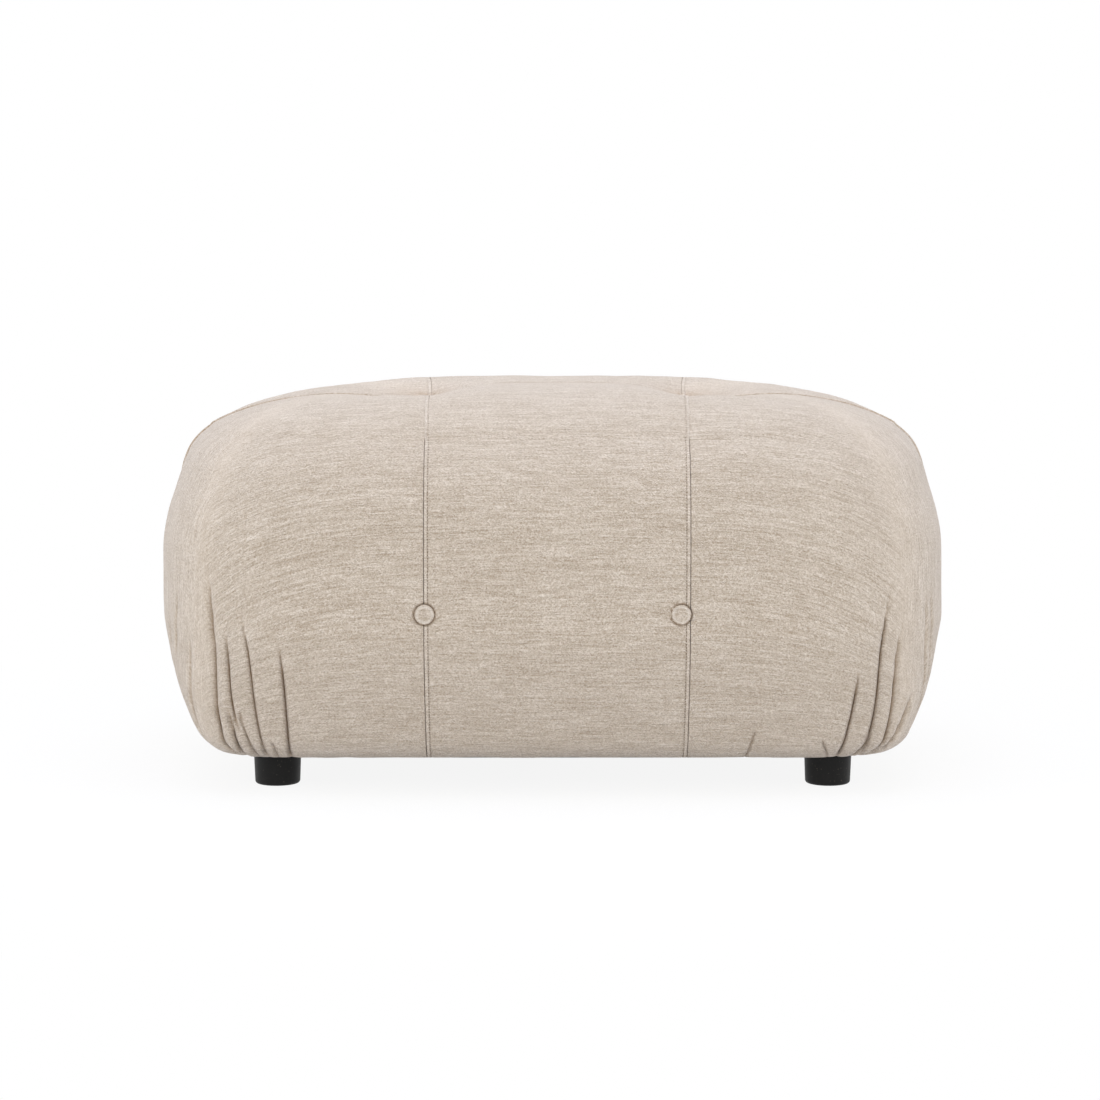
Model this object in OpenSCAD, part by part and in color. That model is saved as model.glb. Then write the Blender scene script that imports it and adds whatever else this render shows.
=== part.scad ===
// Upholstered ottoman: a timber box frame on four feet, webbing, foam and a sewn cover
// of six panels, tufted with covered buttons. Millimetres, +Z up, front towards -Y.
// The origin is on the floor, under the centre of the seat.

/* [Overall] */
// Width over the bulge of the two sides
overall_w = 886; // [840:2:960]
// Depth over the bulge of the front and back
overall_d = 600; // [560:5:680]
// Height of the crown above the floor
overall_h = 444; // [425:1:480]
// Height of the dust cover above the floor
floor_gap = 38; // [32:1:50]

/* [Cover form] */
// Height at which the sides bulge furthest
bulge_z = 184; // [172:1:196]
// Squareness of the shoulder, where 2 is an ellipse
shoulder_power = 4.4; // [4:0.1:5]
// Squareness of the plan at the bulge
plan_power = 4.4; // [4:0.1:5]
// Squareness of the plan at the hem
hem_power = 11; // [10:0.5:13]
// How far the sides draw in below the bulge
draw_in = 54; // [46:1:58]
// Radius at which the cover turns under the frame
turn_r = 24; // [20:1:28]
// Width of the hem turned under the frame
hem_w = 36; // [34:1:38]
// Thickness of the cloth with its bonded wadding
cover_t = 4; // [3:0.5:5]
// Gap between two panels in their seam
seam_gap = 0.3; // [0.2:0.1:0.5]

/* [Seams and tufts] */
// Distance of the top tufts from the centre
tuft_x = 150; // [130:1:165]
// Distance of the two front seams from the centre at the crest
seam_crest_x = 141; // [130:1:160]
// The same distance at the hem
seam_hem_x = 137; // [125:1:155]
// Depth of a top tuft
tuft_depth = 28; // [20:1:32]
// Radius of the hollow round a top tuft
tuft_r = 30; // [24:1:36]
// Depth of the hollow round a side button
pull_depth = 7; // [4:0.5:9]
// Radius of the hollow round a side button
pull_r = 26; // [20:1:32]
// Depth of the groove along a seam
groove_depth = 4; // [2:0.5:6]
// Half width of the groove along a seam
groove_r = 16; // [10:1:22]
// Depth of the gathers at the bottom corners
gather_depth = 5; // [2:0.5:6]

/* [Buttons] */
// Diameter of a covered button
button_d = 23; // [18:1:28]
// Height of a covered button from back to crown
button_h = 7; // [5:0.5:9]
// Depth of a top button's back under the plain cover
tuft_seat = 24; // [16:0.5:24]
// Depth of a side button's back under the plain cover
pull_seat = 6.5; // [4:0.5:6.5]
// Diameter of a button's shank
shank_d = 6; // [5:0.5:8]
// Length of a button's shank
shank_l = 3; // [2.5:0.5:3]
// Diameter of the tufting twine
twine_d = 2; // [1.5:0.1:3]
// Diameter of the washer that holds a side twine
washer_d = 20; // [16:1:20]
// Diameter of the washer that holds a top twine
strap_washer_d = 40; // [34:1:46]
// Thickness of the washers
washer_t = 2; // [1.5:0.5:3]
// Gap between a side twine's washer and the upper rail over it
washer_drop = 1; // [0.5:0.5:5]

/* [Frame] */
// Distance of the timber from the bulge of the cover
frame_in = 103; // [101:1:108]
// Height of the timber frame
frame_h = 228; // [215:1:240]
// Thickness of the rails
rail_t = 20; // [16:1:22]
// Height of the rails
rail_h = 55; // [45:1:60]
// Side of a square corner post
post_w = 40; // [34:1:44]
// Width of a corner block along the front
block_w = 80; // [70:1:90]
// Depth of a corner block
block_d = 70; // [60:1:76]
// Height of a corner block
block_h = 40; // [34:1:46]
// Width of the stretcher
stretcher_w = 45; // [35:1:55]
// Thickness of the side boards
board_t = 3; // [2.5:0.5:5]

/* [Feet] */
// Diameter of a foot at its top
foot_d = 53; // [44:1:56]
// Draft of a foot, as the loss of diameter at its base
foot_draft = 2.6; // [1:0.2:4]
// Radius of a foot's bottom edge
foot_edge_r = 3.5; // [2:0.5:5]
// Distance of a foot's centre from the frame's end
foot_in_x = 32; // [30:1:44]
// Distance of a foot's centre from the frame's face
foot_in_y = 36; // [34:1:44]
// Diameter of the neck that passes the dust cover
neck_d = 18; // [16:0.5:20]
// Diameter of the stud
stud_d = 8; // [6:1:8]
// Height of the stud's lower end above the floor
stud_low = 12; // [8:1:18]
// Length of the stud in the corner block
stud_grip = 18; // [14:1:19]
// Diameter of the threaded insert
insert_d = 12; // [11:0.5:14]
// Length of the threaded insert
insert_l = 20; // [20:1:26]

/* [Suspension and foam] */
// Width of a webbing strap
strap_w = 50; // [40:1:55]
// Thickness of a webbing strap
strap_t = 2; // [1.5:0.5:3]
// Gap between the outer long straps and the rails
long_strap_gap = 2; // [1:1:10]
// Gap between the outer cross straps and the rails
cross_strap_gap = 55; // [40:5:70]
// Distance between a top twine and the cross strap beside it
twine_room = 5; // [4:1:8]
// Thickness of the felt over the webbing
felt_t = 2; // [1.5:0.5:4]
// Gap between the cover's inside and the seat foam
seat_ease = 8; // [7:0.5:11]
// Distance of the seat foam's sides from the bulge of the cover
seat_in = 58; // [54:1:66]
// Gap between the cover's inside and the side pads
pad_ease = 12; // [11:0.5:16]

/* [Fasteners] */
// Diameter of a frame screw
screw_d = 4; // [3.5:0.5:5]
// Length of a frame screw under its head
screw_l = 45; // [36:1:50]
// Diameter of a frame screw's head
screw_head_d = 8; // [7:0.5:9]
// Height of a frame screw's head
screw_head_h = 3; // [2:0.5:3.5]
// Wire thickness of the staples
staple_wire = 0.6; // [0.5:0.1:0.8]
// Width of a staple's crown
staple_w = 10; // [8:1:12]
// Length of a staple's legs
staple_leg = 12; // [10:1:14]
// Distance of the hem's staples from the frame's face
hem_line = 6; // [4:0.5:8]
// Distance of the dust cover's staples from the frame's face
dust_line = 16; // [15:0.5:17]
// Distance between the hem's staples
hem_pitch = 62; // [50:1:80]
// Distance between the dust cover's staples
dust_pitch = 84; // [70:1:100]
// Thickness of the dust cover
dust_t = 0.8; // [0.5:0.1:1.2]
// Distance of the dust cover's edge inside the hem's turn
dust_in = 8; // [6:1:12]

/* [Fits] */
// Gap between layers that lie on each other
lay_gap = 0.3; // [0.2:0.1:0.4]
// Radial clearance of studs, screws and twine in their holes
hole_gap = 0.15; // [0.1:0.05:0.3]

/* [Hidden] */
$fn = 48;

cloth = [0.79, 0.73, 0.66];
timber = [0.82, 0.68, 0.48];
foam_colour = [0.93, 0.9, 0.72];

half_w = overall_w / 2;
half_d = overall_d / 2;
hem_z = floor_gap + dust_t + lay_gap + staple_wire;
frame_z = hem_z + cover_t + lay_gap;
frame_top = frame_z + frame_h;
upper_rail_z = frame_top - rail_h;
frame_x = half_w - frame_in;
frame_y = half_d - frame_in;
block_top = frame_z + block_h;
crown = overall_h - bulge_z;
plan_power_d = plan_power * overall_d / overall_w;
foot_x = frame_x - foot_in_x;
foot_y = frame_y - foot_in_y;
button_z = upper_rail_z - washer_d / 2 - washer_drop;
webbing_top = frame_top + 2 * strap_t + lay_gap;
felt_z = webbing_top + lay_gap;
foam_z = felt_z + felt_t + lay_gap;
board_x = frame_x + board_t;
board_y = frame_y + board_t;

// Share of the crown at which the top ends and the side wall begins
crest_share = 0.8;
crest_z = bulge_z + crest_share * crown;
// How far the flat core of the form lies inside the bulge at the crest
core_in = 110;
// Power by which the draw-in grows towards the hem
draw_power = 1.8;

top_rows = 6;
upper_rows = 4;
wall_rows = 5;
turn_rows = 3;

function mix(a, b, t) = a + (b - a) * t;
function clamp(v, low, high) = min(max(v, low), high);
function unit(v) = v / norm(v);
function bell(distance, reach) = exp(-pow(distance / reach, 2));

// The plan of the cover at a height: half width, half depth and the two powers
function ring_above(z) = let (s = (z - bulge_z) / crown, rest = 1 - pow(s, shoulder_power))
    [half_w * pow(rest, 1 / shoulder_power),
     half_d * pow(rest, plan_power / (shoulder_power * plan_power_d)), plan_power, plan_power_d];
function turn_inset(z) = z - hem_z >= turn_r ? 0
    : turn_r - sqrt(max(0, pow(turn_r, 2) - pow(turn_r - (z - hem_z), 2)));
function ring_below(z) = let (s = (bulge_z - z) / (bulge_z - hem_z),
                              inset = draw_in * pow(s, draw_power) + turn_inset(z))
    [half_w - inset, half_d - inset, mix(plan_power, hem_power, s * s),
     mix(plan_power_d, hem_power, s * s)];
function ring_at(z) = z >= bulge_z ? ring_above(z) : ring_below(z);
function hem_ring() = [half_w - draw_in - turn_r - hem_w, half_d - draw_in - turn_r - hem_w,
                       hem_power, hem_power];
function corner_x(ring) = ring[0] * pow(0.5, 1 / ring[2]);
function corner_y(ring) = ring[1] * pow(0.5, 1 / ring[3]);
function ring_y(ring, x) = ring[1] * pow(max(0, 1 - pow(abs(x) / ring[0], ring[2])), 1 / ring[3]);
function ring_x(ring, y) = ring[0] * pow(max(0, 1 - pow(abs(y) / ring[1], ring[3])), 1 / ring[2]);

// Height of the undented top at a place
function top_z(x, y) = let (r = pow(abs(x) / half_w, plan_power) + pow(abs(y) / half_d, plan_power_d))
    bulge_z + crown * pow(1 - pow(r, shoulder_power / plan_power), 1 / shoulder_power);

// Outward direction of the cover at a point, from a boxy core inside it
function core_inset(z) = mix(draw_in + turn_r, core_in, clamp((z - hem_z) / (overall_h - hem_z), 0, 1));
function outward(p) = let (c = core_inset(p.z), cx = half_w - c, cy = half_d - c)
    unit(p - [clamp(p.x, -cx, cx), clamp(p.y, -cy, cy),
              clamp(p.z, hem_z + turn_r, overall_h - core_in)]);

// Distance of the front seam from the centre at a height
function seam_x(z) = mix(seam_hem_x, seam_crest_x, clamp((z - hem_z) / (crest_z - hem_z), 0, 1));
front_button_y = ring_y(ring_at(button_z), seam_x(button_z));
side_button_x = ring_x(ring_at(button_z), 0);

// How far seams, tufts and buttons draw the cover in at a point
function groove(p) = let (fade = clamp((p.z - hem_z) / turn_r, 0, 1),
                          across = p.z >= crest_z ? mix(seam_crest_x, tuft_x, clamp(1 + p.y / half_d, 0, 1))
                                                  : seam_x(p.z))
    groove_depth * fade * max(bell(abs(p.x) - across, groove_r), bell(p.y, groove_r));
function sink(p) = groove(p)
    + tuft_depth * bell(norm([abs(p.x) - tuft_x, p.y, p.z - top_z(tuft_x, 0)]), tuft_r)
    + pull_depth * bell(norm([abs(p.x) - seam_x(button_z), abs(p.y) - front_button_y, p.z - button_z]), pull_r)
    + pull_depth * bell(norm([abs(p.x) - side_button_x, p.y, p.z - button_z]), pull_r);
function under(p, depth) = p - outward(p) * (depth + sink(p));

// A closed shell between an outer and an inner grid of points with the same columns
function shell_faces(columns, rows) = let (wide = columns + 1, all = wide * (rows + 1))
    [for (j = [0:rows - 1], i = [0:columns - 1])
        let (a = j * wide + i, b = a + 1, c = b + wide, d = a + wide)
        each concat([[a, b, c], [a, c, d], [a + all, c + all, b + all], [a + all, d + all, c + all]],
            j == 0 ? [[b, a, a + all], [b, a + all, b + all]] : [],
            j == rows - 1 ? [[d, c, c + all], [d, c + all, d + all]] : [],
            i == 0 ? [[a, d, d + all], [a, d + all, a + all]] : [],
            i == columns - 1 ? [[c, b, b + all], [c, b + all, c + all]] : [])];
module shell(outer, inner, columns) {
    polyhedron(points = concat(outer, inner),
               faces = shell_faces(columns, len(outer) / (columns + 1) - 1), convexity = 8);
}

// Heights of the wall's rows, from the crest down to the flat of the hem
wall_z = concat(
    [for (k = [1:upper_rows]) mix(crest_z, button_z, k / upper_rows)],
    [for (k = [1:wall_rows]) mix(button_z, hem_z + turn_r, k / wall_rows)],
    [for (k = [1:turn_rows]) hem_z + turn_r * (1 - sin(90 * k / turn_rows))]);
wall_rings = concat([for (z = wall_z) concat(ring_at(z), z)], [concat(hem_ring(), hem_z)]);
crest_ring = ring_at(crest_z);

// Cover panels. A panel runs from the long top seam over the crest and down to the hem.
function centre_row(ring, z, columns) = [for (i = [0:columns])
    let (x = (seam_x(z) - seam_gap / 2) * (2 * i / columns - 1)) [x, -ring_y(ring, x), z]];
function centre_top_row(t, columns) = [for (i = [0:columns])
    let (f = 2 * i / columns - 1,
         x = f * (mix(tuft_x, seam_crest_x, t) - seam_gap / 2),
         y = mix(-seam_gap / 2, -ring_y(crest_ring, f * seam_crest_x), t))
    [x, y, top_z(x, y)]];
centre_columns = 8;
centre_points = concat(
    [for (j = [0:top_rows]) each centre_top_row(j / top_rows, centre_columns)],
    [for (r = wall_rings) each centre_row(r, r[4], centre_columns)]);

front_columns = 7;
side_columns = 11;
outer_columns = front_columns + side_columns;
// A point of the wall at column i, which runs round the corner to the side seam
function wall_point(ring, z, i) = i <= front_columns
    ? let (x = mix(seam_x(z) + seam_gap / 2, corner_x(ring), i / front_columns)) [x, -ring_y(ring, x), z]
    : let (y = mix(corner_y(ring), seam_gap / 2, (i - front_columns) / side_columns))
      [ring_x(ring, y), -y, z];
// The outer panels leave a hole under each top button for its shank
tuft_hole_r = shank_d / 2 + 5;
function outer_top_row(t) = [for (i = [0:outer_columns])
    let (edge = wall_point(crest_ring, crest_z, i),
         from = [tuft_x + seam_gap / 2, -seam_gap / 2],
         start = from + unit([edge.x, edge.y] - from) * tuft_hole_r,
         p = mix(start, [edge.x, edge.y], t))
    [p.x, p.y, top_z(p.x, p.y)]];
// Every other column near the corner sinks towards the hem, which makes the gathers
gather_columns = 4.5;
gather_rise = 110;
gather_fade = 20;
function gather(p, i) = let (near = bell(i - front_columns, gather_columns),
                             low = clamp((button_z - p.z) / gather_rise, 0, 1))
    i % 2 == 0 ? gather_depth * near * low * clamp((p.z - hem_z) / gather_fade, 0, 1) : 0;
outer_points = concat(
    [for (j = [0:top_rows]) each outer_top_row(j / top_rows)],
    [for (r = wall_rings) each [for (i = [0:outer_columns]) wall_point(r, r[4], i)]]);

module centre_panel() {
    color(cloth) shell([for (p = centre_points) under(p, 0)],
                       [for (p = centre_points) under(p, cover_t)], centre_columns);
}
module outer_panel() {
    fold = [for (n = [0:len(outer_points) - 1]) gather(outer_points[n], n % (outer_columns + 1))];
    color(cloth) shell([for (n = [0:len(fold) - 1]) under(outer_points[n], fold[n])],
                       [for (n = [0:len(fold) - 1]) under(outer_points[n], fold[n] + cover_t)],
                       outer_columns);
}
module to_left() { mirror([1, 0, 0]) children(); }
module to_back() { mirror([0, 1, 0]) children(); }
module cover_front_centre() { centre_panel(); }
module cover_front_right() { outer_panel(); }
module cover_front_left() { to_left() outer_panel(); }
module cover_back_centre() { to_back() centre_panel(); }
module cover_back_right() { to_back() outer_panel(); }
module cover_back_left() { to_back() to_left() outer_panel(); }

// Radius of the dome that falls by this much from crown to rim
dome_fall = 2.5;
dome_r = (pow(button_d / 2, 2) + pow(dome_fall, 2)) / (2 * dome_fall);
// Covered buttons, with the shank's lower end at the origin and the crown along +Z
module button() {
    edge = 1.5;
    color(cloth) difference() {
        rotate_extrude() union() {
            square([shank_d / 2, shank_l + 1]);
            translate([0, shank_l]) intersection() {
                square([button_d / 2, button_h]);
                translate([0, button_h - dome_r]) circle(dome_r, $fn = 96);
                union() {
                    translate([0, edge]) square([button_d / 2, button_h]);
                    square([button_d / 2 - edge, button_h]);
                    translate([button_d / 2 - edge, edge]) circle(edge, $fn = 32);
                }
            }
        }
        cylinder(h = shank_l, d = twine_d + 2 * hole_gap);
    }
}
// Where each button's shank starts: the place, and the way it points
top_button_z = top_z(tuft_x, 0) - tuft_seat - shank_l;
front_shank_y = front_button_y - pull_seat - shank_l;
side_shank_x = side_button_x - pull_seat - shank_l;
module at_top() { translate([tuft_x, 0, top_button_z]) children(); }
module at_front() { translate([seam_x(button_z), -front_shank_y, button_z]) rotate([90, 0, 0]) children(); }
module at_side() { translate([side_shank_x, 0, button_z]) rotate([0, 90, 0]) children(); }
module button_top_right() { at_top() button(); }
module button_top_left() { to_left() at_top() button(); }
module button_front_right() { at_front() button(); }
module button_front_left() { to_left() at_front() button(); }
module button_back_right() { to_back() at_front() button(); }
module button_back_left() { to_back() to_left() at_front() button(); }
module button_side_right() { at_side() button(); }
module button_side_left() { to_left() at_side() button(); }

// Twine from inside a shank to the back of its washer
module twine(length) {
    translate([0, 0, -length]) cylinder(h = length + shank_l - lay_gap, d = twine_d);
}
module washer(d, length) {
    translate([0, 0, -length]) difference() {
        cylinder(h = washer_t, d = d);
        cylinder(h = washer_t, d = twine_d + 2 * hole_gap);
    }
}
top_twine_l = top_button_z - frame_top + lay_gap + washer_t;
front_twine_l = front_shank_y - frame_y + lay_gap + washer_t;
side_twine_l = side_shank_x - frame_x + lay_gap + washer_t;
module four_ways() {
    children();
    to_left() children();
    to_back() children();
    to_back() to_left() children();
}
module two_ways() {
    children();
    to_left() children();
}
module tufting_twines() {
    color([0.9, 0.88, 0.8]) {
        two_ways() at_top() twine(top_twine_l);
        four_ways() at_front() twine(front_twine_l);
        two_ways() at_side() twine(side_twine_l);
    }
}
module twine_washers() {
    color([0.75, 0.76, 0.78]) {
        two_ways() at_top() washer(strap_washer_d, top_twine_l);
        four_ways() at_front() washer(washer_d, front_twine_l);
        two_ways() at_side() washer(washer_d, side_twine_l);
    }
}
module twine_hole(length) {
    translate([0, 0, -length]) cylinder(h = length + shank_l, d = twine_d + 2);
}

// Feet, studs and inserts
module at_foot() { translate([foot_x, -foot_y, 0]) children(); }
module foot() {
    base_r = (foot_d - foot_draft) / 2;
    color([0.12, 0.12, 0.12]) difference() {
        rotate_extrude() union() {
            polygon([[0, 0], [base_r - foot_edge_r, 0], [base_r, foot_edge_r],
                     [foot_d / 2, floor_gap], [0, floor_gap]]);
            translate([base_r - foot_edge_r, foot_edge_r]) circle(foot_edge_r, $fn = 32);
            translate([0, floor_gap - 1]) square([neck_d / 2, frame_z - floor_gap + 1]);
        }
        translate([0, 0, stud_low]) cylinder(h = frame_z, d = stud_d + 2 * hole_gap);
    }
}
module foot_front_right() { at_foot() foot(); }
module foot_front_left() { to_left() at_foot() foot(); }
module foot_back_right() { to_back() at_foot() foot(); }
module foot_back_left() { to_back() to_left() at_foot() foot(); }
module foot_studs() {
    color([0.7, 0.71, 0.73]) four_ways() at_foot()
        translate([0, 0, stud_low]) cylinder(h = frame_z + stud_grip - stud_low, d = stud_d);
}
module threaded_inserts() {
    color([0.83, 0.69, 0.35]) four_ways() at_foot() translate([0, 0, frame_z]) difference() {
        cylinder(h = insert_l, d = insert_d);
        cylinder(h = insert_l, d = stud_d + 2 * hole_gap);
    }
}

// Timber frame
inner_x = frame_x - rail_t;
inner_y = frame_y - rail_t;
module corner_block() {
    difference() {
        translate([inner_x - block_w, -inner_y, frame_z]) cube([block_w, block_d, block_h]);
        at_foot() translate([0, 0, frame_z]) cylinder(h = insert_l, d = insert_d + 2 * hole_gap);
    }
}
module block_front_right() { drilled() corner_block(); }
module block_front_left() { drilled() to_left() corner_block(); }
module block_back_right() { drilled() to_back() corner_block(); }
module block_back_left() { drilled() to_back() to_left() corner_block(); }

// Screws run from the outer faces into the blocks and posts, two at each joint
screw_edge = 8;
screw_rows = [block_top - screw_edge, block_top + screw_edge, upper_rail_z + 12, frame_top - 14];
// The screws of the short rails lie below those of the long ones, and further in
stagger = 5;
long_screw_x = inner_x - screw_edge - screw_d;
short_screw_y = inner_y - post_w + screw_edge;
module along_y(z) { translate([long_screw_x, -frame_y, z]) rotate([-90, 0, 0]) children(); }
module along_x(z) { translate([frame_x, -short_screw_y, z]) rotate([0, -90, 0]) children(); }
module corner_screws() {
    for (z = screw_rows) {
        along_y(z) children();
        along_x(z - stagger) children();
    }
}
module screw() {
    cylinder(h = screw_head_h, d = screw_head_d);
    cylinder(h = screw_head_h + screw_l, d = screw_d);
}
module screw_hole() {
    translate([0, 0, -1]) cylinder(h = screw_head_h + 1, d = screw_head_d + 2 * hole_gap);
    cylinder(h = screw_head_h + screw_l + lay_gap, d = screw_d + 2 * hole_gap);
}
module frame_screws() { color([0.72, 0.73, 0.75]) four_ways() corner_screws() screw(); }
module drilled() {
    color(timber) difference() {
        children();
        four_ways() corner_screws() screw_hole();
    }
}
module post() {
    translate([inner_x - post_w, -inner_y, block_top]) cube([post_w, post_w, frame_h - block_h]);
}
module post_front_right() { drilled() post(); }
module post_front_left() { drilled() to_left() post(); }
module post_back_right() { drilled() to_back() post(); }
module post_back_left() { drilled() to_back() to_left() post(); }
module long_rail(z) { translate([-frame_x, -frame_y, z]) cube([2 * frame_x, rail_t, rail_h]); }
module short_rail(z) { translate([inner_x, -inner_y, z]) cube([rail_t, 2 * inner_y, rail_h]); }
module rail_front_lower() { drilled() long_rail(frame_z); }
module rail_back_lower() { drilled() to_back() long_rail(frame_z); }
module rail_right_lower() { drilled() short_rail(frame_z); }
module rail_left_lower() { drilled() to_left() short_rail(frame_z); }
module rail_front_upper() { drilled() long_rail(upper_rail_z); }
module rail_back_upper() { drilled() to_back() long_rail(upper_rail_z); }
module rail_right_upper() { drilled() short_rail(upper_rail_z); }
module rail_left_upper() { drilled() to_left() short_rail(upper_rail_z); }
module stretcher() {
    color(timber) translate([-stretcher_w / 2, -inner_y, frame_z]) cube([stretcher_w, 2 * inner_y, rail_t]);
}

// Boards that close the sides
module long_board() {
    color([0.55, 0.4, 0.26]) difference() {
        translate([-board_x, -board_y, frame_z]) cube([2 * board_x, board_t, frame_h]);
        two_ways() at_front() twine_hole(front_twine_l);
    }
}
module short_board() {
    color([0.55, 0.4, 0.26]) difference() {
        translate([frame_x, -frame_y, frame_z]) cube([board_t, 2 * frame_y, frame_h]);
        at_side() twine_hole(side_twine_l);
    }
}
module board_front() { long_board(); }
module board_back() { to_back() long_board(); }
module board_right() { short_board(); }
module board_left() { to_left() short_board(); }

// Webbing: the cross straps lie on the rails, the long ones on them, with folded ends
long_straps = 4;
long_pitch = (2 * (inner_y - long_strap_gap) - strap_w) / (long_straps - 1);
outer_strap_x = inner_x - cross_strap_gap - strap_w / 2;
tuft_strap_x = tuft_x - twine_room - strap_w / 2;
fold_l = 18;
module webbing_cross() {
    color([0.2, 0.2, 0.22]) for (x = [-outer_strap_x, -tuft_strap_x, 0, tuft_strap_x, outer_strap_x])
        translate([x - strap_w / 2, -frame_y, frame_top]) cube([strap_w, 2 * frame_y, strap_t]);
}
module webbing_long() {
    color([0.2, 0.2, 0.22]) for (k = [0:long_straps - 1])
        translate([0, (k - (long_straps - 1) / 2) * long_pitch - strap_w / 2, frame_top]) union() {
            translate([-frame_x, 0, strap_t + lay_gap]) cube([2 * frame_x, strap_w, strap_t]);
            two_ways() translate([frame_x - fold_l, 0, 0]) cube([fold_l, strap_w, strap_t + lay_gap]);
        }
}
module insulator_felt() {
    color([0.6, 0.6, 0.58]) difference() {
        translate([-frame_x, -frame_y, felt_z]) cube([2 * frame_x, 2 * frame_y, felt_t]);
        two_ways() at_top() twine_hole(top_twine_l);
    }
}

// Seat foam, crowned under the cover, with a hollow for each tuft
seat_x = half_w - seat_in;
seat_y = half_d - seat_in;
seat_corner_r = 90;
// Share of the corner's radius that the grid's last column keeps
corner_share = 0.6;
foam_columns = 14;
foam_rows = 8;
// A rounded rectangle filled by a grid whose columns pass through the tufts
function foam_x(i) = let (half = foam_columns / 2, k = i - half, turn = 3)
    sign(k) * (abs(k) <= turn ? tuft_x * abs(k) / turn
                              : mix(tuft_x, seat_x, (abs(k) - turn) / (half - turn)));
function corner_pull(along, half) = let (over = max(0, along - (half - seat_corner_r)))
    seat_corner_r - sqrt(max(0, pow(seat_corner_r, 2) - pow(over, 2)));
function foam_place(i, j) = let (x = foam_x(i), v = 2 * j / foam_rows - 1,
                                 pull = min(corner_pull(abs(x), seat_x), corner_share * seat_corner_r))
    [x, -v * (seat_y - pull)];
function foam_under(x, y) = let (z = top_z(x, y))
    z - cover_t - seat_ease - sink([x, y, z]) - groove_depth;
foam_places = [for (j = [0:foam_rows], i = [0:foam_columns]) foam_place(i, j)];
module seat_foam() {
    color(foam_colour) shell([for (p = foam_places) [p.x, p.y, foam_under(p.x, p.y)]],
                             [for (p = foam_places) [p.x, p.y, foam_z]], foam_columns);
}

// Side pads between the boards and the cover
pad_low = frame_z;
pad_high = foam_z - lay_gap;
pad_levels = 5;
pad_columns = 10;
function pad_ring(z) = let (r = ring_at(z), off = cover_t + pad_ease) [r[0] - off, r[1] - off, r[2], r[3]];
pad_lift = 4;
pad_lip = 6;
function pad_z(j) = mix(pad_high, pad_low + pad_lift, j / pad_levels);
function long_pad(i, j) = let (z = pad_z(j), r = pad_ring(z),
                               x = ring_x(r, board_y + pad_lip) * (2 * i / pad_columns - 1))
    [x, -ring_y(r, x), z];
// The pads stand a little above the turned hem, and the long ones end in a thin lip
function short_pad(i, j) = let (z = pad_z(j), y = board_y * (2 * i / pad_columns - 1))
    [ring_x(pad_ring(z), y), y, z];
pad_grid = [for (j = [0:pad_levels], i = [0:pad_columns]) [i, j]];
module front_pad() {
    face = [for (g = pad_grid) long_pad(g[0], g[1])];
    color(foam_colour) shell(face, [for (p = face) [p.x, -board_y - lay_gap, p.z]], pad_columns);
}
module right_pad() {
    face = [for (g = pad_grid) short_pad(g[0], g[1])];
    color(foam_colour) shell(face, [for (p = face) [board_x + lay_gap, p.y, p.z]], pad_columns);
}
module pad_front() { front_pad(); }
module pad_back() { to_back() front_pad(); }
module pad_right() { right_pad(); }
module pad_left() { to_left() right_pad(); }

// Dust cover under the hem, with a hole for each foot's neck
dust_x = half_w - draw_in - turn_r - dust_in;
dust_y = half_d - draw_in - turn_r - dust_in;
dust_corner_r = 40;
module dust_cover() {
    color([0.1, 0.1, 0.11]) translate([0, 0, floor_gap]) difference() {
        linear_extrude(dust_t) union() {
            square([2 * dust_x - 2 * dust_corner_r, 2 * dust_y], center = true);
            square([2 * dust_x, 2 * dust_y - 2 * dust_corner_r], center = true);
            four_ways() translate([dust_x - dust_corner_r, -dust_y + dust_corner_r])
                circle(dust_corner_r, $fn = 64);
        }
        four_ways() at_foot() cylinder(h = dust_t, d = neck_d + 2);
    }
}

// Staples stand with their crown on z = 0 and their legs along +Z
module staple() {
    translate([-staple_w / 2, -staple_wire / 2, 0]) cube([staple_w, staple_wire, staple_wire]);
    two_ways() translate([staple_w / 2 - staple_wire, -staple_wire / 2, 0])
        cube([staple_wire, staple_wire, staple_leg]);
}
// A row of staples along both rails of each pair, kept clear of the corners
module staple_rows(line, pitch, z, corner) {
    line_x = frame_x - line;
    line_y = frame_y - line;
    along_long = 2 * floor((line_x - corner) / pitch);
    along_short = 2 * floor((line_y - corner) / pitch);
    for (side = [0, 1]) mirror([0, side, 0]) for (k = [0:along_long])
        translate([(k - along_long / 2) * pitch, -line_y, z]) staple();
    for (side = [0, 1]) mirror([side, 0, 0]) for (k = [0:along_short])
        translate([line_x, (k - along_short / 2) * pitch, z]) rotate([0, 0, 90]) staple();
}
// How far the rows of staples stay from the frame's corners
hem_corner = 40;
dust_corner = 60;
module hem_staples() {
    color([0.75, 0.76, 0.78]) staple_rows(hem_line, hem_pitch, hem_z - staple_wire, hem_corner);
}
module dust_staples() {
    color([0.75, 0.76, 0.78]) staple_rows(dust_line, dust_pitch, floor_gap - staple_wire, dust_corner);
}

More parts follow.
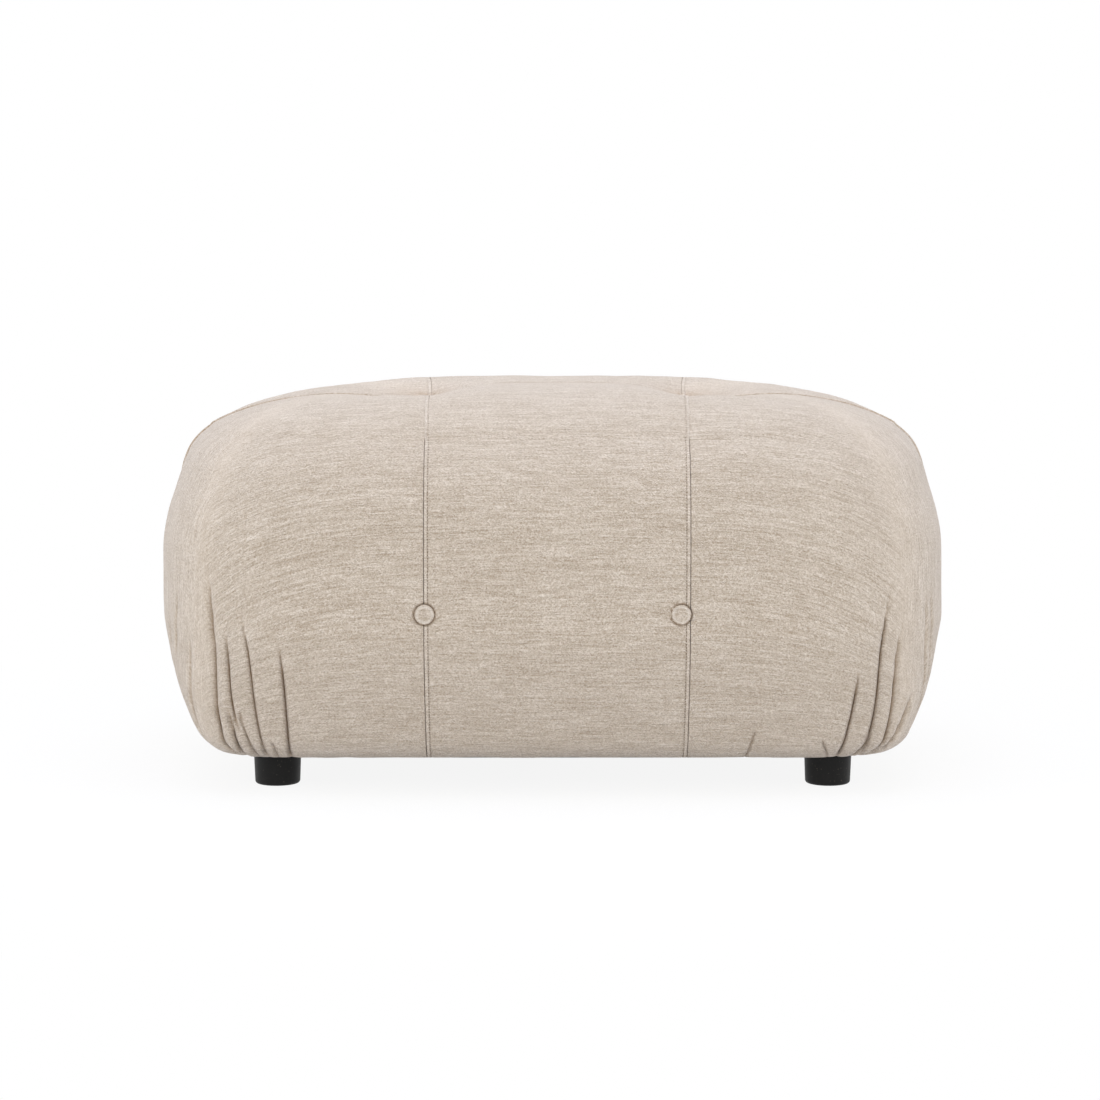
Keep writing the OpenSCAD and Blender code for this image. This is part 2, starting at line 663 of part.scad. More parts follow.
cover_front_left();
cover_front_centre();
cover_front_right();
cover_back_left();
cover_back_centre();
cover_back_right();
button_top_left();
button_top_right();
button_front_left();
button_front_right();
button_back_left();
button_back_right();
button_side_left();
button_side_right();
tufting_twines();
twine_washers();
dust_cover();
hem_staples();
dust_staples();
foot_front_left();
foot_front_right();
foot_back_left();
foot_back_right();
foot_studs();
threaded_inserts();
block_front_left();
block_front_right();
block_back_left();
block_back_right();
post_front_left();
post_front_right();
post_back_left();
post_back_right();
rail_front_lower();
rail_back_lower();
rail_left_lower();
rail_right_lower();
rail_front_upper();
rail_back_upper();
rail_left_upper();
rail_right_upper();
stretcher();
frame_screws();
board_front();
board_back();
board_left();
board_right();
webbing_long();
webbing_cross();
insulator_felt();
seat_foam();
pad_front();
pad_back();
pad_left();
pad_right();
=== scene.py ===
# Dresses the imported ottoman: six sewn and tufted panels of chenille, covered buttons, a dust
# cover, black feet, the foam and finishes inside, and a plain studio. Metres, in the frame's axes.
import math
from typing import NamedTuple

import bmesh
import bpy
import numpy as np
from bpy.props import FloatProperty, FloatVectorProperty, PointerProperty
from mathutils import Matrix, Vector


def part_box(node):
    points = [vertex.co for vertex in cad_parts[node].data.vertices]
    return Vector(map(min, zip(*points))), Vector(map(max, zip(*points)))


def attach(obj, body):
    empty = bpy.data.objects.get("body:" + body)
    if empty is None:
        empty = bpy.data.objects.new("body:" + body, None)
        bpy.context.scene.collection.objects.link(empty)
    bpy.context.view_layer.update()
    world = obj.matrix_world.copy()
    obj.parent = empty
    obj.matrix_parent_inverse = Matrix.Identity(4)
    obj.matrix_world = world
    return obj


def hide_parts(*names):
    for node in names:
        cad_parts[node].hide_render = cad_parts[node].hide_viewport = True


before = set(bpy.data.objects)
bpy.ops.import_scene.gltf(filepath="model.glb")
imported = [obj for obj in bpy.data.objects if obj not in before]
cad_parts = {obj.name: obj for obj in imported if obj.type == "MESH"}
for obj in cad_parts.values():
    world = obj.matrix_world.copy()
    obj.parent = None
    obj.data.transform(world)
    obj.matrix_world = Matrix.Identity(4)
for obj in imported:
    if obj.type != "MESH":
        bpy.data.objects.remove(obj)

bl_info = {
    "name": "Tufted ottoman",
    "version": (1, 0, 0),
    "blender": (4, 5, 0),
    "location": "3D View > Sidebar > Ottoman",
    "description": "Sews, stuffs and buttons an upholstered ottoman round its frame",
    "category": "Add Mesh",
}

BODY = "root"
FOOT_NODES = sorted(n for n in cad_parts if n.startswith("foot_") and n != "foot_studs")
BUTTON_NODES = sorted(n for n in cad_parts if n.startswith("button_"))
# How much nearer to the middle than its node a front or back button is drawn
BUTTON_SHIFT = 0.0015
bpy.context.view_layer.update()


def length(name, default, description):
    """A size in metres that a user may change."""
    return FloatProperty(name=name, description=description, default=default, unit="LENGTH", precision=4)


def number(name, default, description, **more):
    return FloatProperty(name=name, description=description, default=default, **more)


def colour(name, default, description):
    """A colour, given as it looks on a screen, from 0 to 1."""
    return FloatVectorProperty(name=name, description=description, default=default, size=3,
                               subtype="COLOR_GAMMA")


class OttomanForm(bpy.types.PropertyGroup):
    """The cover's smooth form, which the CAD panels follow with fewer faces."""

    width: length("Width", 0.886, "Over the bulge of the two sides")
    depth: length("Depth", 0.600, "Over the bulge of the front and back")
    height: length("Height", 0.444, "Height of the crown above the floor")
    bulge: length("Bulge height", 0.184, "Height at which the sides bulge furthest")
    hem: length("Hem height", 0.0397, "Height of the turned hem above the floor")
    draw_in: length("Draw-in", 0.060, "How far the sides draw in below the bulge")
    turn: length("Turn radius", 0.024, "Radius at which the cover turns under")
    hem_width: length("Hem width", 0.036, "Width of the hem turned under the frame")
    shoulder_power: number("Shoulder", 4.2, "Squareness of the shoulder")
    plan_power: number("Plan", 4.4, "Squareness of the plan at the bulge")
    hem_power: number("Hem plan", 11.0, "Squareness of the plan at the hem")


class OttomanSewing(bpy.types.PropertyGroup):
    """Seams, tufts and the pulls of the buttons."""

    tuft_place: length("Tuft place", 0.150, "Distance of the top tufts from the centre")
    seam_crest: length("Seam at the crest", 0.1427, "Distance of a front seam from the centre")
    seam_hem: length("Seam at the hem", 0.1425, "Distance of a front seam from the centre")
    tuft_depth: length("Tuft depth", 0.0142, "Depth of the wide hollow round a top tuft")
    tuft_core: length("Tuft core", 0.0085, "Further depth of a top tuft under its button")
    tuft_outer: length("Tuft outwards", 0.080, "Reach of the hollow towards the end")
    tuft_inner: length("Tuft inwards", 0.045, "Reach of the hollow towards the middle")
    tuft_front: length("Tuft forwards", 0.150, "Reach of the hollow to the front")
    tuft_back: length("Tuft backwards", 0.055, "Reach of the hollow to the back")
    pull_depth: length("Pull depth", 0.0030, "Depth of the hollow round a side button")
    pull_reach: length("Pull reach", 0.018, "Radius of the hollow round a side button")
    valley_depth: length("Valley depth", 0.0048, "Depth of the valley along the long seam")
    valley_reach: length("Valley reach", 0.022, "Distance at which the valley is nearly gone")
    slope_reach: length("Slope reach", 0.085, "Reach of the slope before the long seam")
    ridge: length("Seam ridge", 0.0060, "How far the long seam's ends stand out")
    roll: length("Rolled edge", 0.0008, "Radius at which a panel rolls into its seam")
    fold: length("Folded edge", 0.0006, "Radius at which the stitched side folds in")
    strip: length("Seam strip", 0.0041, "Width of the strip between seam and topstitch")
    strip_rise: length("Strip rise", 0.0019, "How far the seam allowance lifts the strip")
    lean: length("Lean", 0.0052, "How far the seams stand to the right")
    spread: length("Spread", 0.0110, "How far the seams spread at the back of the crown")
    stitch_pitch: length("Stitch pitch", 0.0034, "Distance from one stitch to the next")
    stitch_length: length("Stitch length", 0.0016, "Length of a stitch on the cloth")
    stitch_width: length("Stitch width", 0.0010, "Thickness of the thread")


class OttomanCloth(bpy.types.PropertyGroup):
    """The chenille, as it looks in plain light."""

    light: colour("Light yarn", (0.885, 0.842, 0.790), "Colour of the palest slubs")
    middle: colour("Middle yarn", (0.768, 0.716, 0.650), "Colour of the cloth from afar")
    dark: colour("Dark yarn", (0.650, 0.583, 0.503), "Colour between the slubs")
    thickness: length("Thickness", 0.0018, "Thickness of the cloth")
    drape: number("Drape", 0.25, "How fast the weft droops beyond a seam")


class OttomanTrim(bpy.types.PropertyGroup):
    """Buttons, feet and the dust cover."""

    button: length("Button", 0.0228, "Diameter of a covered button")
    button_body: length("Button height", 0.007, "From its back to its crown")
    foot_top: length("Foot top", 0.053, "Diameter of a foot at its top")
    foot_draft: length("Foot draft", 0.0026, "Loss of diameter towards its base")
    foot_edge: length("Foot edge", 0.0035, "Radius of its bottom edge")
    foot_height: length("Foot height", 0.038, "From the floor to the dust cover")
    neck: length("Neck", 0.018, "Diameter of the neck through the dust cover")
    sag: length("Sag", 0.0030, "How far the dust cover hangs in its middle")
    plastic: colour("Plastic", (0.030, 0.028, 0.026), "Colour of the feet")


class OttomanStudio(bpy.types.PropertyGroup):
    """The camera and the lamps."""

    eye_x: length("Camera side", -0.003, "Camera's place across the ottoman")
    eye_y: length("Camera distance", -3.5, "Camera's place in front of the centre")
    eye_z: length("Camera height", 0.5965, "Camera's height above the floor")
    tilt: number("Tilt", 0.0999, "Angle below the horizon", subtype="ANGLE")
    lens: number("Lens", 98.74, "Focal length on a 36 mm wide sensor")
    top_lamp: number("Top lamp", 38.5, "Power of the lamp overhead in watts")
    key_lamp: number("Front lamp", 40.6, "Power of the large front lamp in watts")
    side_lamp: number("Side lamps", 20.0, "Power of each side lamp in watts")
    sky: number("Sky", 0.62, "Strength of the plain surroundings")


# Small numeric helpers
def mix(a, b, share):
    return a + (b - a) * share


def bell(distance, reach):
    return np.exp(-((distance / reach) ** 2))


def ease(start, end, value):
    """0 at start, 1 at end, with a smooth way between."""
    t = np.clip((value - start) / (end - start), 0, 1)
    return t * t * (3 - 2 * t)


def axes(p):
    return p[..., 0], p[..., 1], p[..., 2]


def run_length(a, b):
    """Distance travelled along a line of points up to each of them."""
    return np.concatenate([[0], np.cumsum(np.hypot(np.diff(a), np.diff(b)))])


def graded(total, count, spots, reach, closer):
    """count + 1 places from 0 to total, closer together near the spots."""
    s = np.linspace(0, total, 6000)
    density = 1 + closer * sum(bell(s - spot, reach) for spot in spots)
    travelled = np.concatenate([[0], np.cumsum((density[1:] + density[:-1]) / 2)])
    return np.interp(np.linspace(0, travelled[-1], count + 1), travelled, s)


def wander(points, size, seed):
    """A smooth random number from -1 to 1 at each point, from a few waves of about that size."""
    rng = np.random.default_rng(seed)
    total = 0
    for _ in range(5):
        way = rng.normal(size=3)
        way *= 2 * math.pi / (size * np.linalg.norm(way) * rng.uniform(0.7, 1.5))
        total = total + np.sin(points @ way + rng.uniform(0, 2 * math.pi))
    return total / 5


class Gather(NamedTuple):
    """One fold of the cloth at a bottom corner: its place at its start and at the hem, the bow of the
    line between, the height of its start, its depth and the height of its end. Places are measured
    round the corner from its middle, and are negative on the front."""

    high: float
    low: float
    bow: float
    start: float
    depth: float
    end: float = 0.0

    def line(self, z, hem, inset):
        """Where the fold runs at heights z. Away from the corner it stays upright as the wall draws in."""
        share = np.clip((z - hem) / (self.start - hem), 0, 1)
        upright = np.clip(self.high / 0.05, -1, 1)
        return mix(self.low, self.high, share) + 4 * self.bow * share * (1 - share) - upright * inset

    def strength(self, z):
        return ease(self.start, mix(self.start, 0.045, 0.38), z) * ease(self.end - 0.015, self.end + 0.015, z)


# The gathers of each corner in millimetres, at the front after the photograph
GATHERS = {corner: [Gather(*(v / 1000 for v in row)) for row in rows] for corner, rows in {
    "front_left": [
        (-3, -7, -9, 260, 6.2), (-35, -76, 3, 197, 5, 75), (-54, -83, -1, 112, 6.4),
        (-71, -103, 0, 107, 3.6), (-61, -115, -1, 217, 4.4), (-121, -142, -3, 184, 5.4),
        (-122, -127, 0, 64, 2.8), (39, 89, 2, 182, 5), (69, 148, 0, 244, 3.6, 150),
        (115, 183, 0, 214, 3.8, 120), (126, 105, 0, 108, 4.8), (142, 175, 0, 168, 3.6),
    ],
    "front_right": [
        (-23, -60, -5, 240, 5.8), (1, -6, -7, 194, 6), (58, 62, -6, 118, 6.6),
        (-82, -121, -1, 150, 5.2), (-76, -91, 0, 76, 3.6), (60, 124, -2, 226, 5.2),
        (78, 126, 6, 240, 4.2, 110), (-215, -227, 0, 80, 2.6), (-143, -132, 0, 66, 2.4),
        (120, 160, 0, 176, 4.2), (156, 190, 0, 140, 3.2),
    ],
    "back_left": [
        (4, -6, -8, 232, 5.8), (-40, -90, 0, 200, 4.6), (-90, -134, -2, 160, 4.4),
        (-18, -50, -2, 120, 5.4), (36, 75, 1, 205, 4.8), (64, 125, 4, 222, 3.8, 100),
        (104, 140, 0, 170, 4.4), (140, 180, 0, 130, 3.2),
    ],
    "back_right": [
        (-8, -24, -8, 228, 5.8), (-52, -118, -1, 205, 4.6), (-104, -146, -2, 150, 4.2),
        (12, 20, 2, 130, 5.6), (46, 96, 0, 214, 4.8), (78, 138, 4, 188, 3.8, 90),
        (116, 158, 0, 204, 4.2),
    ],
}.items()}


class Cover:
    """The cover's form in its front right quarter, which the other quarters mirror."""

    # Share of the crown's height where the wall becomes the top
    CREST_SHARE = 0.8
    DRAW_POWER = 1.45
    # How much flatter the top is from front to back than from end to end
    FLATTER = 0.45
    # How far the upper ends and the top hang slack
    SLACK = 0.0055
    SUNK = 0.0050
    # Distance of the boxy core from the upper outside, and radius of the tuft's hole in a panel
    CORE_IN = 0.110
    TUFT_HOLE = 0.008

    def __init__(self, form, sewing, skin=0.0):
        self.form = form
        self.sewing = sewing
        self.skin = skin
        self.half_w = form.width / 2
        self.half_d = form.depth / 2
        self.crown = form.height - form.bulge
        self.crest = form.bulge + self.CREST_SHARE * self.crown
        self.side_power = form.plan_power * form.depth / form.width
        self.flank = 1 - self.CREST_SHARE ** form.shoulder_power
        self.button_z = box_centre("button_front_right").z
        self.buttons = [(np.array(button_place(node)), 0 if "_side_" in node else 1)
                        for node in BUTTON_NODES if "_top_" not in node]

    def down(self, z):
        """0 at the bulge and above, 1 at the hem."""
        return np.clip((self.form.bulge - z) / (self.form.bulge - self.form.hem), 0, 1)

    def ring(self, z, further=0.0):
        """Half width, half depth and the two powers of the plan at heights z."""
        f = self.form
        up = np.clip((z - f.bulge) / self.crown, 0, 1)
        rest = np.maximum(1 - up ** f.shoulder_power, 1e-9)
        down = self.down(z)
        inset = self.inset(z) + further
        a = self.half_w * rest ** (1 / f.shoulder_power) - inset - self.SLACK * bell(z - 0.330, 0.034)
        b = self.half_d * rest ** (f.plan_power / (f.shoulder_power * self.side_power)) - inset
        squarer = down * down
        return a, b, mix(f.plan_power, f.hem_power, squarer), mix(self.side_power, f.hem_power, squarer)

    def inset(self, z):
        """How far the wall has drawn in below the bulge at heights z, with the turn at its foot."""
        f = self.form
        short = np.clip(f.turn - (z - f.hem), 0, f.turn)
        return f.draw_in * self.down(z) ** self.DRAW_POWER + f.turn - np.sqrt(f.turn**2 - short**2)

    def tuck(self, z, further):
        """How much longer the cloth's way down from the bulge is than its height less its draw-in."""
        f = self.form
        levels = np.linspace(f.bulge, f.hem, 400)
        way = run_length(levels, self.inset(levels))
        return np.interp(-z, -levels, way) - np.maximum(f.bulge - z, 0) + self.inset(z) + 2 * further

    def ring_y(self, ring, x):
        a, b, n, m = ring
        return b * np.maximum(0, 1 - (abs(x) / a) ** n) ** (1 / m)

    def ring_x(self, ring, y):
        a, b, n, m = ring
        return a * np.maximum(0, 1 - (abs(y) / b) ** m) ** (1 / n)

    def corner(self, ring):
        a, b, n, m = ring
        return a * 0.5 ** (1 / n), b * 0.5 ** (1 / m)

    def round_corner(self, p):
        """Place of each point round its corner, as gathers are measured."""
        cx, cy = self.corner(self.ring(p[..., 2]))
        return abs(p[..., 0]) - abs(p[..., 1]) - (cx - cy)

    def top_z(self, x, y):
        """Height of the top, flatter from front to back than from end to end."""
        f = self.form
        across = (abs(y) / self.half_d) ** self.side_power
        r = (abs(x) / self.half_w) ** f.plan_power + across
        flatter = 1 + self.FLATTER * across / np.maximum(r, 1e-9)
        inside = self.flank * np.maximum(r / self.flank, 1e-12) ** flatter
        rest = np.maximum(0, 1 - np.where(r < self.flank, inside, r))
        outer = mix(0.24, 1.0, ease(0.150, 0.215, abs(x)))
        sunk = self.SUNK * outer * np.maximum(0, 1 - (r / self.flank) ** 2)
        return f.bulge + self.crown * rest ** (1 / f.shoulder_power) - sunk

    def seam_x(self, z):
        s = self.sewing
        up = np.clip((z - self.form.hem) / (self.crest - self.form.hem), 0, 1)
        return mix(s.seam_hem, s.seam_crest, up)

    def seam_across(self, p):
        """Distance of the front seam from the centre beside each point, on the top as on the wall."""
        s = self.sewing
        x_top = mix(s.seam_crest, s.tuft_place, np.clip(1 - abs(p[..., 1]) / self.half_d, 0, 1))
        return np.where(p[..., 2] >= self.crest, x_top, self.seam_x(p[..., 2]))

    def outward(self, p):
        """Direction in which the cover faces at each point, from a boxy core inside it."""
        f = self.form
        x, y, z = axes(p)
        core = mix(f.draw_in + f.turn, self.CORE_IN, np.clip((z - f.hem) / (f.height - f.hem), 0, 1))
        cx = self.half_w - core
        cy = self.half_d - core
        up = np.clip(z, f.hem + f.turn, f.height - self.CORE_IN)
        way = p - np.stack([np.clip(x, -cx, cx), np.clip(y, -cy, cy), up], axis=-1)
        return way / np.maximum(np.linalg.norm(way, axis=-1, keepdims=True), 1e-9)

    def leaned(self, p):
        """Moves the seams a little to the right, and apart on the back of the crown."""
        s = self.sewing
        x, y, z = axes(p)
        apart = ease(0.0, 0.16, y) * ease(0.27, 0.39, z) * bell(abs(x) - s.tuft_place, 0.08)
        moved = p.copy()
        moved[..., 0] += s.lean * (1 - (x / self.half_w) ** 2) + np.sign(x) * s.spread * apart
        return moved

    def to_buttons(self, p):
        """Distance of each point from the nearest side button, along the cloth."""
        place = self.leaned(p)
        nearest = np.full(p.shape[:-1], 1.0)
        for centre, axis in self.buttons:
            offset = place - centre
            beside = np.sqrt(np.maximum((offset**2).sum(-1) - offset[..., axis] ** 2, 0))
            nearest = np.minimum(nearest, np.where(abs(offset[..., axis]) < 0.05, beside, 1.0))
        return nearest

    def pull(self, p):
        """How far seams, tufts and buttons draw the cover in at each point."""
        s = self.sewing
        x, y, z = axes(p)
        x = abs(x)
        fade = np.clip((z - self.form.hem) / self.form.turn, 0, 1)
        on_top = ease(self.crest - 0.03, self.crest + 0.02, z)
        across = x - self.seam_across(p)
        level = mix(0.30, 0.60, on_top) * (1 - 0.8 * on_top * ease(0.02, 0.08, y))
        front_seam = level * np.exp(-abs(across) / s.valley_reach)
        steep = np.exp(-abs(y) / s.valley_reach)
        gutter = 0.28 * ease(0.03, 0.11, x)
        before = 0.72 * bell(y, s.slope_reach) + gutter * steep ** 3
        gentle = np.where(y < 0, before, (0.72 + gutter) * steep)
        outer = ease(-0.03, 0.05, across)
        long_seam = mix(0.55 * steep, mix(1.0, 1.3, outer) * gentle, on_top)
        valley = fade * s.valley_depth * np.maximum(front_seam, long_seam)
        beside = x - s.tuft_place
        over = beside / np.where(beside > 0, s.tuft_outer, s.tuft_inner)
        hollow = np.exp(-(over**2) - np.where(y < 0, (y / s.tuft_front) ** 4, (y / s.tuft_back) ** 2))
        core = bell(np.hypot(beside, y), 0.013)
        tuft = (z > self.form.bulge) * (s.tuft_depth * hollow + s.tuft_core * core)
        near = np.exp(-abs(y) / 0.045)
        at_end = ease(0.28, 0.38, x) * ease(0.30, 0.35, z) * (1 - 0.6 * ease(0.370, 0.425, z))
        ridge = at_end * (s.ridge * near - 0.003 * (1 - near))
        away = self.to_buttons(p)
        button = s.pull_depth * bell(away, s.pull_reach) + 0.0020 * bell(away - 0.0116, 0.0013)
        return valley + tuft - ridge + button

    def edge(self, away, strip):
        """Height of a panel's rolled edge at distances from its seam, with the raised strip on one side."""
        s = self.sewing
        radius = s.fold if strip else s.roll
        near = np.clip(radius - away, 0, radius)
        height = np.sqrt(radius**2 - near**2) - radius - 0.0016 * (away < 0.00002)
        if strip:
            fall = ease(s.strip - 0.0012, s.strip + 0.0002, away)
            height += s.strip_rise * ease(0.0, 0.0012, away) * (1 - fall)
            height -= 0.0010 * bell(away - s.strip - 0.0002, 0.0008)
        return height

    def within(self, p, gap):
        """Moves points of the filling in so that they lie at least a gap inside the cloth."""
        x, y, z = axes(p)
        depth = gap + self.pull(p)
        a, b, n, m = self.ring(np.minimum(z, self.form.height - 0.001))
        r = (abs(x) / np.maximum(a - depth, 0.01)) ** n + (abs(y) / np.maximum(b - depth, 0.01)) ** m
        moved = p.copy()
        moved[..., :2] *= (np.maximum(r, 1.0) ** (-2 / (n + m)))[..., None]
        moved[..., 2] = np.minimum(moved[..., 2], self.top_z(moved[..., 0], moved[..., 1]) - depth)
        return moved

    def gathered(self, p, gathers):
        """Depth of the folds at a bottom corner, and their share of shadow."""
        hem = self.form.hem
        z = p[..., 2]
        place = self.round_corner(p)
        depth = np.zeros(z.shape)
        shade = np.zeros(z.shape)
        inner = 1 - 0.8 * ease(hem + 0.004, hem, z)
        for g in gathers:
            away = place - g.line(z, hem, self.inset(z))
            amount = g.strength(z) * inner
            cut = bell(away, 0.0009 + 0.09 * g.depth)
            puff = 0.28 * bell(away - 0.007, 0.0055) + 0.18 * bell(away + 0.010, 0.007)
            depth += g.depth * amount * (cut + 0.40 * bell(away, 0.010) - puff)
            shade = np.maximum(shade, 0.75 * cut * amount * min(1.0, g.depth / 0.005))
        return depth, shade

    def tightened(self, p, gathers):
        """Moves the columns of a wall's grid towards the gathers, so that the folds come out crisp."""
        place = self.round_corner(p)
        result = p.copy()
        for row in range(len(p)):
            z = p[row, 0, 2]
            shift = np.zeros(p.shape[1])
            for g in gathers:
                away = place[row] - g.line(z, self.form.hem, self.inset(z))
                shift -= 0.70 * g.strength(z) * away * bell(away, 0.009)
            aim = np.maximum.accumulate(place[row] + shift)
            for axis in (0, 1):
                result[row, :, axis] = np.interp(aim, place[row], p[row, :, axis])
        return result


def box_centre(node):
    low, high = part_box(node)
    return (low + high) / 2


def button_place(node):
    """Centre of a button. Those on the front and back seams are drawn a touch to the middle."""
    centre = box_centre(node)
    if "_front_" in node or "_back_" in node:
        centre.x -= math.copysign(BUTTON_SHIFT, centre.x)
    return centre


# The cloth's simulation: every how many points of a panel it has one, its frames, pressure and limit,
# and the share of its wrinkles that is kept
CLOTH_STEP = 3
CLOTH_FRAMES = 20
CLOTH_PRESSURE = 3.0
CLOTH_CAP = 0.0015
CLOTH_SHARE = 0.3

# Rows and columns of the panels' grids
TOP_ROWS = 66
WALL_ROWS = 128
TURN_ROWS = 12
HEM_ROWS = 6
CENTRE_COLUMNS = 140
FRONT_COLUMNS = 106
SIDE_COLUMNS = 112
# Rough widths of an outer panel's front and side, which space their columns
FRONT_RUN = 0.245
SIDE_RUN = 0.265


class Panels:
    """Grids of points for one centre panel and one outer panel."""

    def __init__(self, cover):
        self.cover = cover
        form = cover.form
        y = np.linspace(0, cover.ring(cover.crest)[1], 2000)
        run = run_length(y, cover.top_z(0.0, y))
        spots = graded(run[-1], TOP_ROWS, [0.0], 0.008, 4.0)
        self.top_shares = np.interp(spots, run, y) / y[-1]
        z = np.linspace(cover.crest, form.hem + form.turn, 3000)
        run = run_length(cover.ring(z)[1], z)
        button = np.interp(-cover.button_z, -z, run)
        spots = graded(run[-1], WALL_ROWS, [button], 0.016, 1.8)
        self.wall = [(h, 0.0) for h in np.interp(spots, run, z)[1:]]
        turns = np.sin(np.linspace(0, math.pi / 2, TURN_ROWS + 1)[1:])
        self.wall += [(form.hem + form.turn * (1 - s), 0.0) for s in turns]
        self.wall += [(form.hem, form.hem_width * (k + 1) / HEM_ROWS) for k in range(HEM_ROWS)]

    def centre(self):
        """Grid of the front centre panel, from the long seam down to the hem, left to right."""
        c = self.cover
        s = c.sewing
        half = graded(s.seam_crest, CENTRE_COLUMNS // 2, [s.seam_crest], 0.008, 5.0) / s.seam_crest
        half[np.argmin(abs(half - (1 - s.strip / s.seam_crest)))] = 1 - s.strip / s.seam_crest
        f = np.concatenate([-half[::-1], half[1:]])
        crest = c.ring(c.crest)
        rows = []
        for t in self.top_shares:
            x = f * mix(s.tuft_place, s.seam_crest, t)
            y = -t * c.ring_y(crest, f * s.seam_crest)
            rows.append(np.stack([x, y, c.top_z(x, y)], axis=-1))
        for z, further in self.wall:
            x = f * c.seam_x(z)
            rows.append(np.stack([x, -c.ring_y(c.ring(z, further), x), np.full_like(x, z)], axis=-1))
        return np.array(rows)

    def wall_row(self, z, further):
        c = self.cover
        front = graded(FRONT_RUN, FRONT_COLUMNS, [0.0], 0.010, 3.0) / FRONT_RUN
        side = graded(SIDE_RUN, SIDE_COLUMNS, [SIDE_RUN], 0.010, 3.0)[1:] / SIDE_RUN
        ring = c.ring(z, further)
        cx, cy = c.corner(ring)
        x_front = mix(c.seam_x(z), cx, front)
        y_side = mix(cy, 0.0, side)
        x = np.concatenate([x_front, c.ring_x(ring, y_side)])
        y = np.concatenate([-c.ring_y(ring, x_front), -y_side])
        return np.stack([x, y, np.full_like(x, z)], axis=-1)

    def outer(self):
        """Grid of the front right panel, as a fan from the tuft to the crest and down the wall."""
        c = self.cover
        edge = self.wall_row(c.crest, 0.0)[:, :2]
        tuft = np.array([c.sewing.tuft_place, 0.0])
        way = edge - tuft
        start = tuft + way / np.linalg.norm(way, axis=1, keepdims=True) * c.TUFT_HOLE
        rows = []
        for t in self.top_shares:
            p = mix(start, edge, t)
            rows.append(np.stack([p[:, 0], p[:, 1], c.top_z(p[:, 0], p[:, 1])], axis=-1))
        return np.array(rows + [self.wall_row(z, further) for z, further in self.wall])


# Half width of the painted shade lines beside seams and buttons, and radius of the painted shade line round a
# button
LINE = 0.0010
BUTTON_LINE = 0.0117


def sewn(cover, p, inner, strip_side, gathers, seed):
    """Draws a panel's points in at its seams, tufts and gathers. Returns the points and their painted shade,
    which is negative where a highlight is painted on the seam strip.
    """
    s = cover.sewing
    x, y, z = axes(p)
    front = abs(abs(x) - cover.seam_across(p))
    side = abs(y)
    upper = ease(0.25, 0.43, z)
    height = cover.edge(front, inner)
    at_long = cover.edge(side, strip_side)
    height = np.minimum(height, at_long) if inner else np.where(side < front, at_long, height)
    height = np.where(height < 0, height * (1 - 0.50 * upper), height)
    # Mask of the painted shade in the hollow round each top tuft
    beside = abs(x) - s.tuft_place
    tuft_hollow_shade = bell(beside, np.where(beside > 0, 0.045, 0.032)) * bell(y - 0.008, 0.022)
    # Painted shade: in the front seams, fainter higher up, in a ring round each side button, along the long
    # seam and in the tuft hollows
    shades = [
        0.12 * (1 - 0.65 * upper) * bell(front, LINE),
        0.55 * bell(cover.to_buttons(p) - BUTTON_LINE, LINE),
        0.40 * bell(side, 0.0018),
        0.34 * tuft_hollow_shade * (z > cover.form.bulge),
    ]
    depth = cover.pull(p)
    # On a centre panel: painted shade in the topstitch line, and a painted highlight on the raised strip
    # beside the seam
    pale = 0.0
    if inner:
        shades.append(0.05 * bell(front - s.strip, LINE))
        pale = 0.20 * bell(front - 0.50 * s.strip, 0.0009) * (side > s.strip)
    # Painted shade in the topstitch line before the long seam
    if strip_side:
        shades.append(0.40 * bell(side - s.strip, LINE))
    # Painted shade in the creases of the gathers
    if gathers:
        folds, dark = cover.gathered(p, gathers)
        depth = depth + folds
        shades.append(dark)
    loose = ease(0.012, 0.06, np.minimum(front, side))
    depth = depth - loose * (0.0009 * wander(p, 0.085, seed) + 0.0004 * wander(p, 0.030, seed + 1))
    share = mix(0.6, 1.0, ease(0.0, 0.010, z - cover.form.hem))
    points = p - cover.outward(p) * (depth - cover.skin - height * share)[..., None]
    return cover.leaned(points), np.maximum.reduce(shades) - pale


def held_fast(cover, p):
    """1 where seams, hem, buttons and tufts hold the cloth, 0 where it may swell."""
    x, y, z = axes(p)
    tuft = np.hypot(abs(x) - cover.sewing.tuft_place, y) - 0.016
    nearest = np.minimum.reduce([abs(abs(x) - cover.seam_across(p)), abs(y), cover.to_buttons(p) - 0.010,
                                 np.where(z > cover.form.bulge, tuft, 1.0)])
    return np.maximum(ease(0.018, 0.006, nearest), ease(0.030, 0.0, z - cover.form.hem - 0.020))


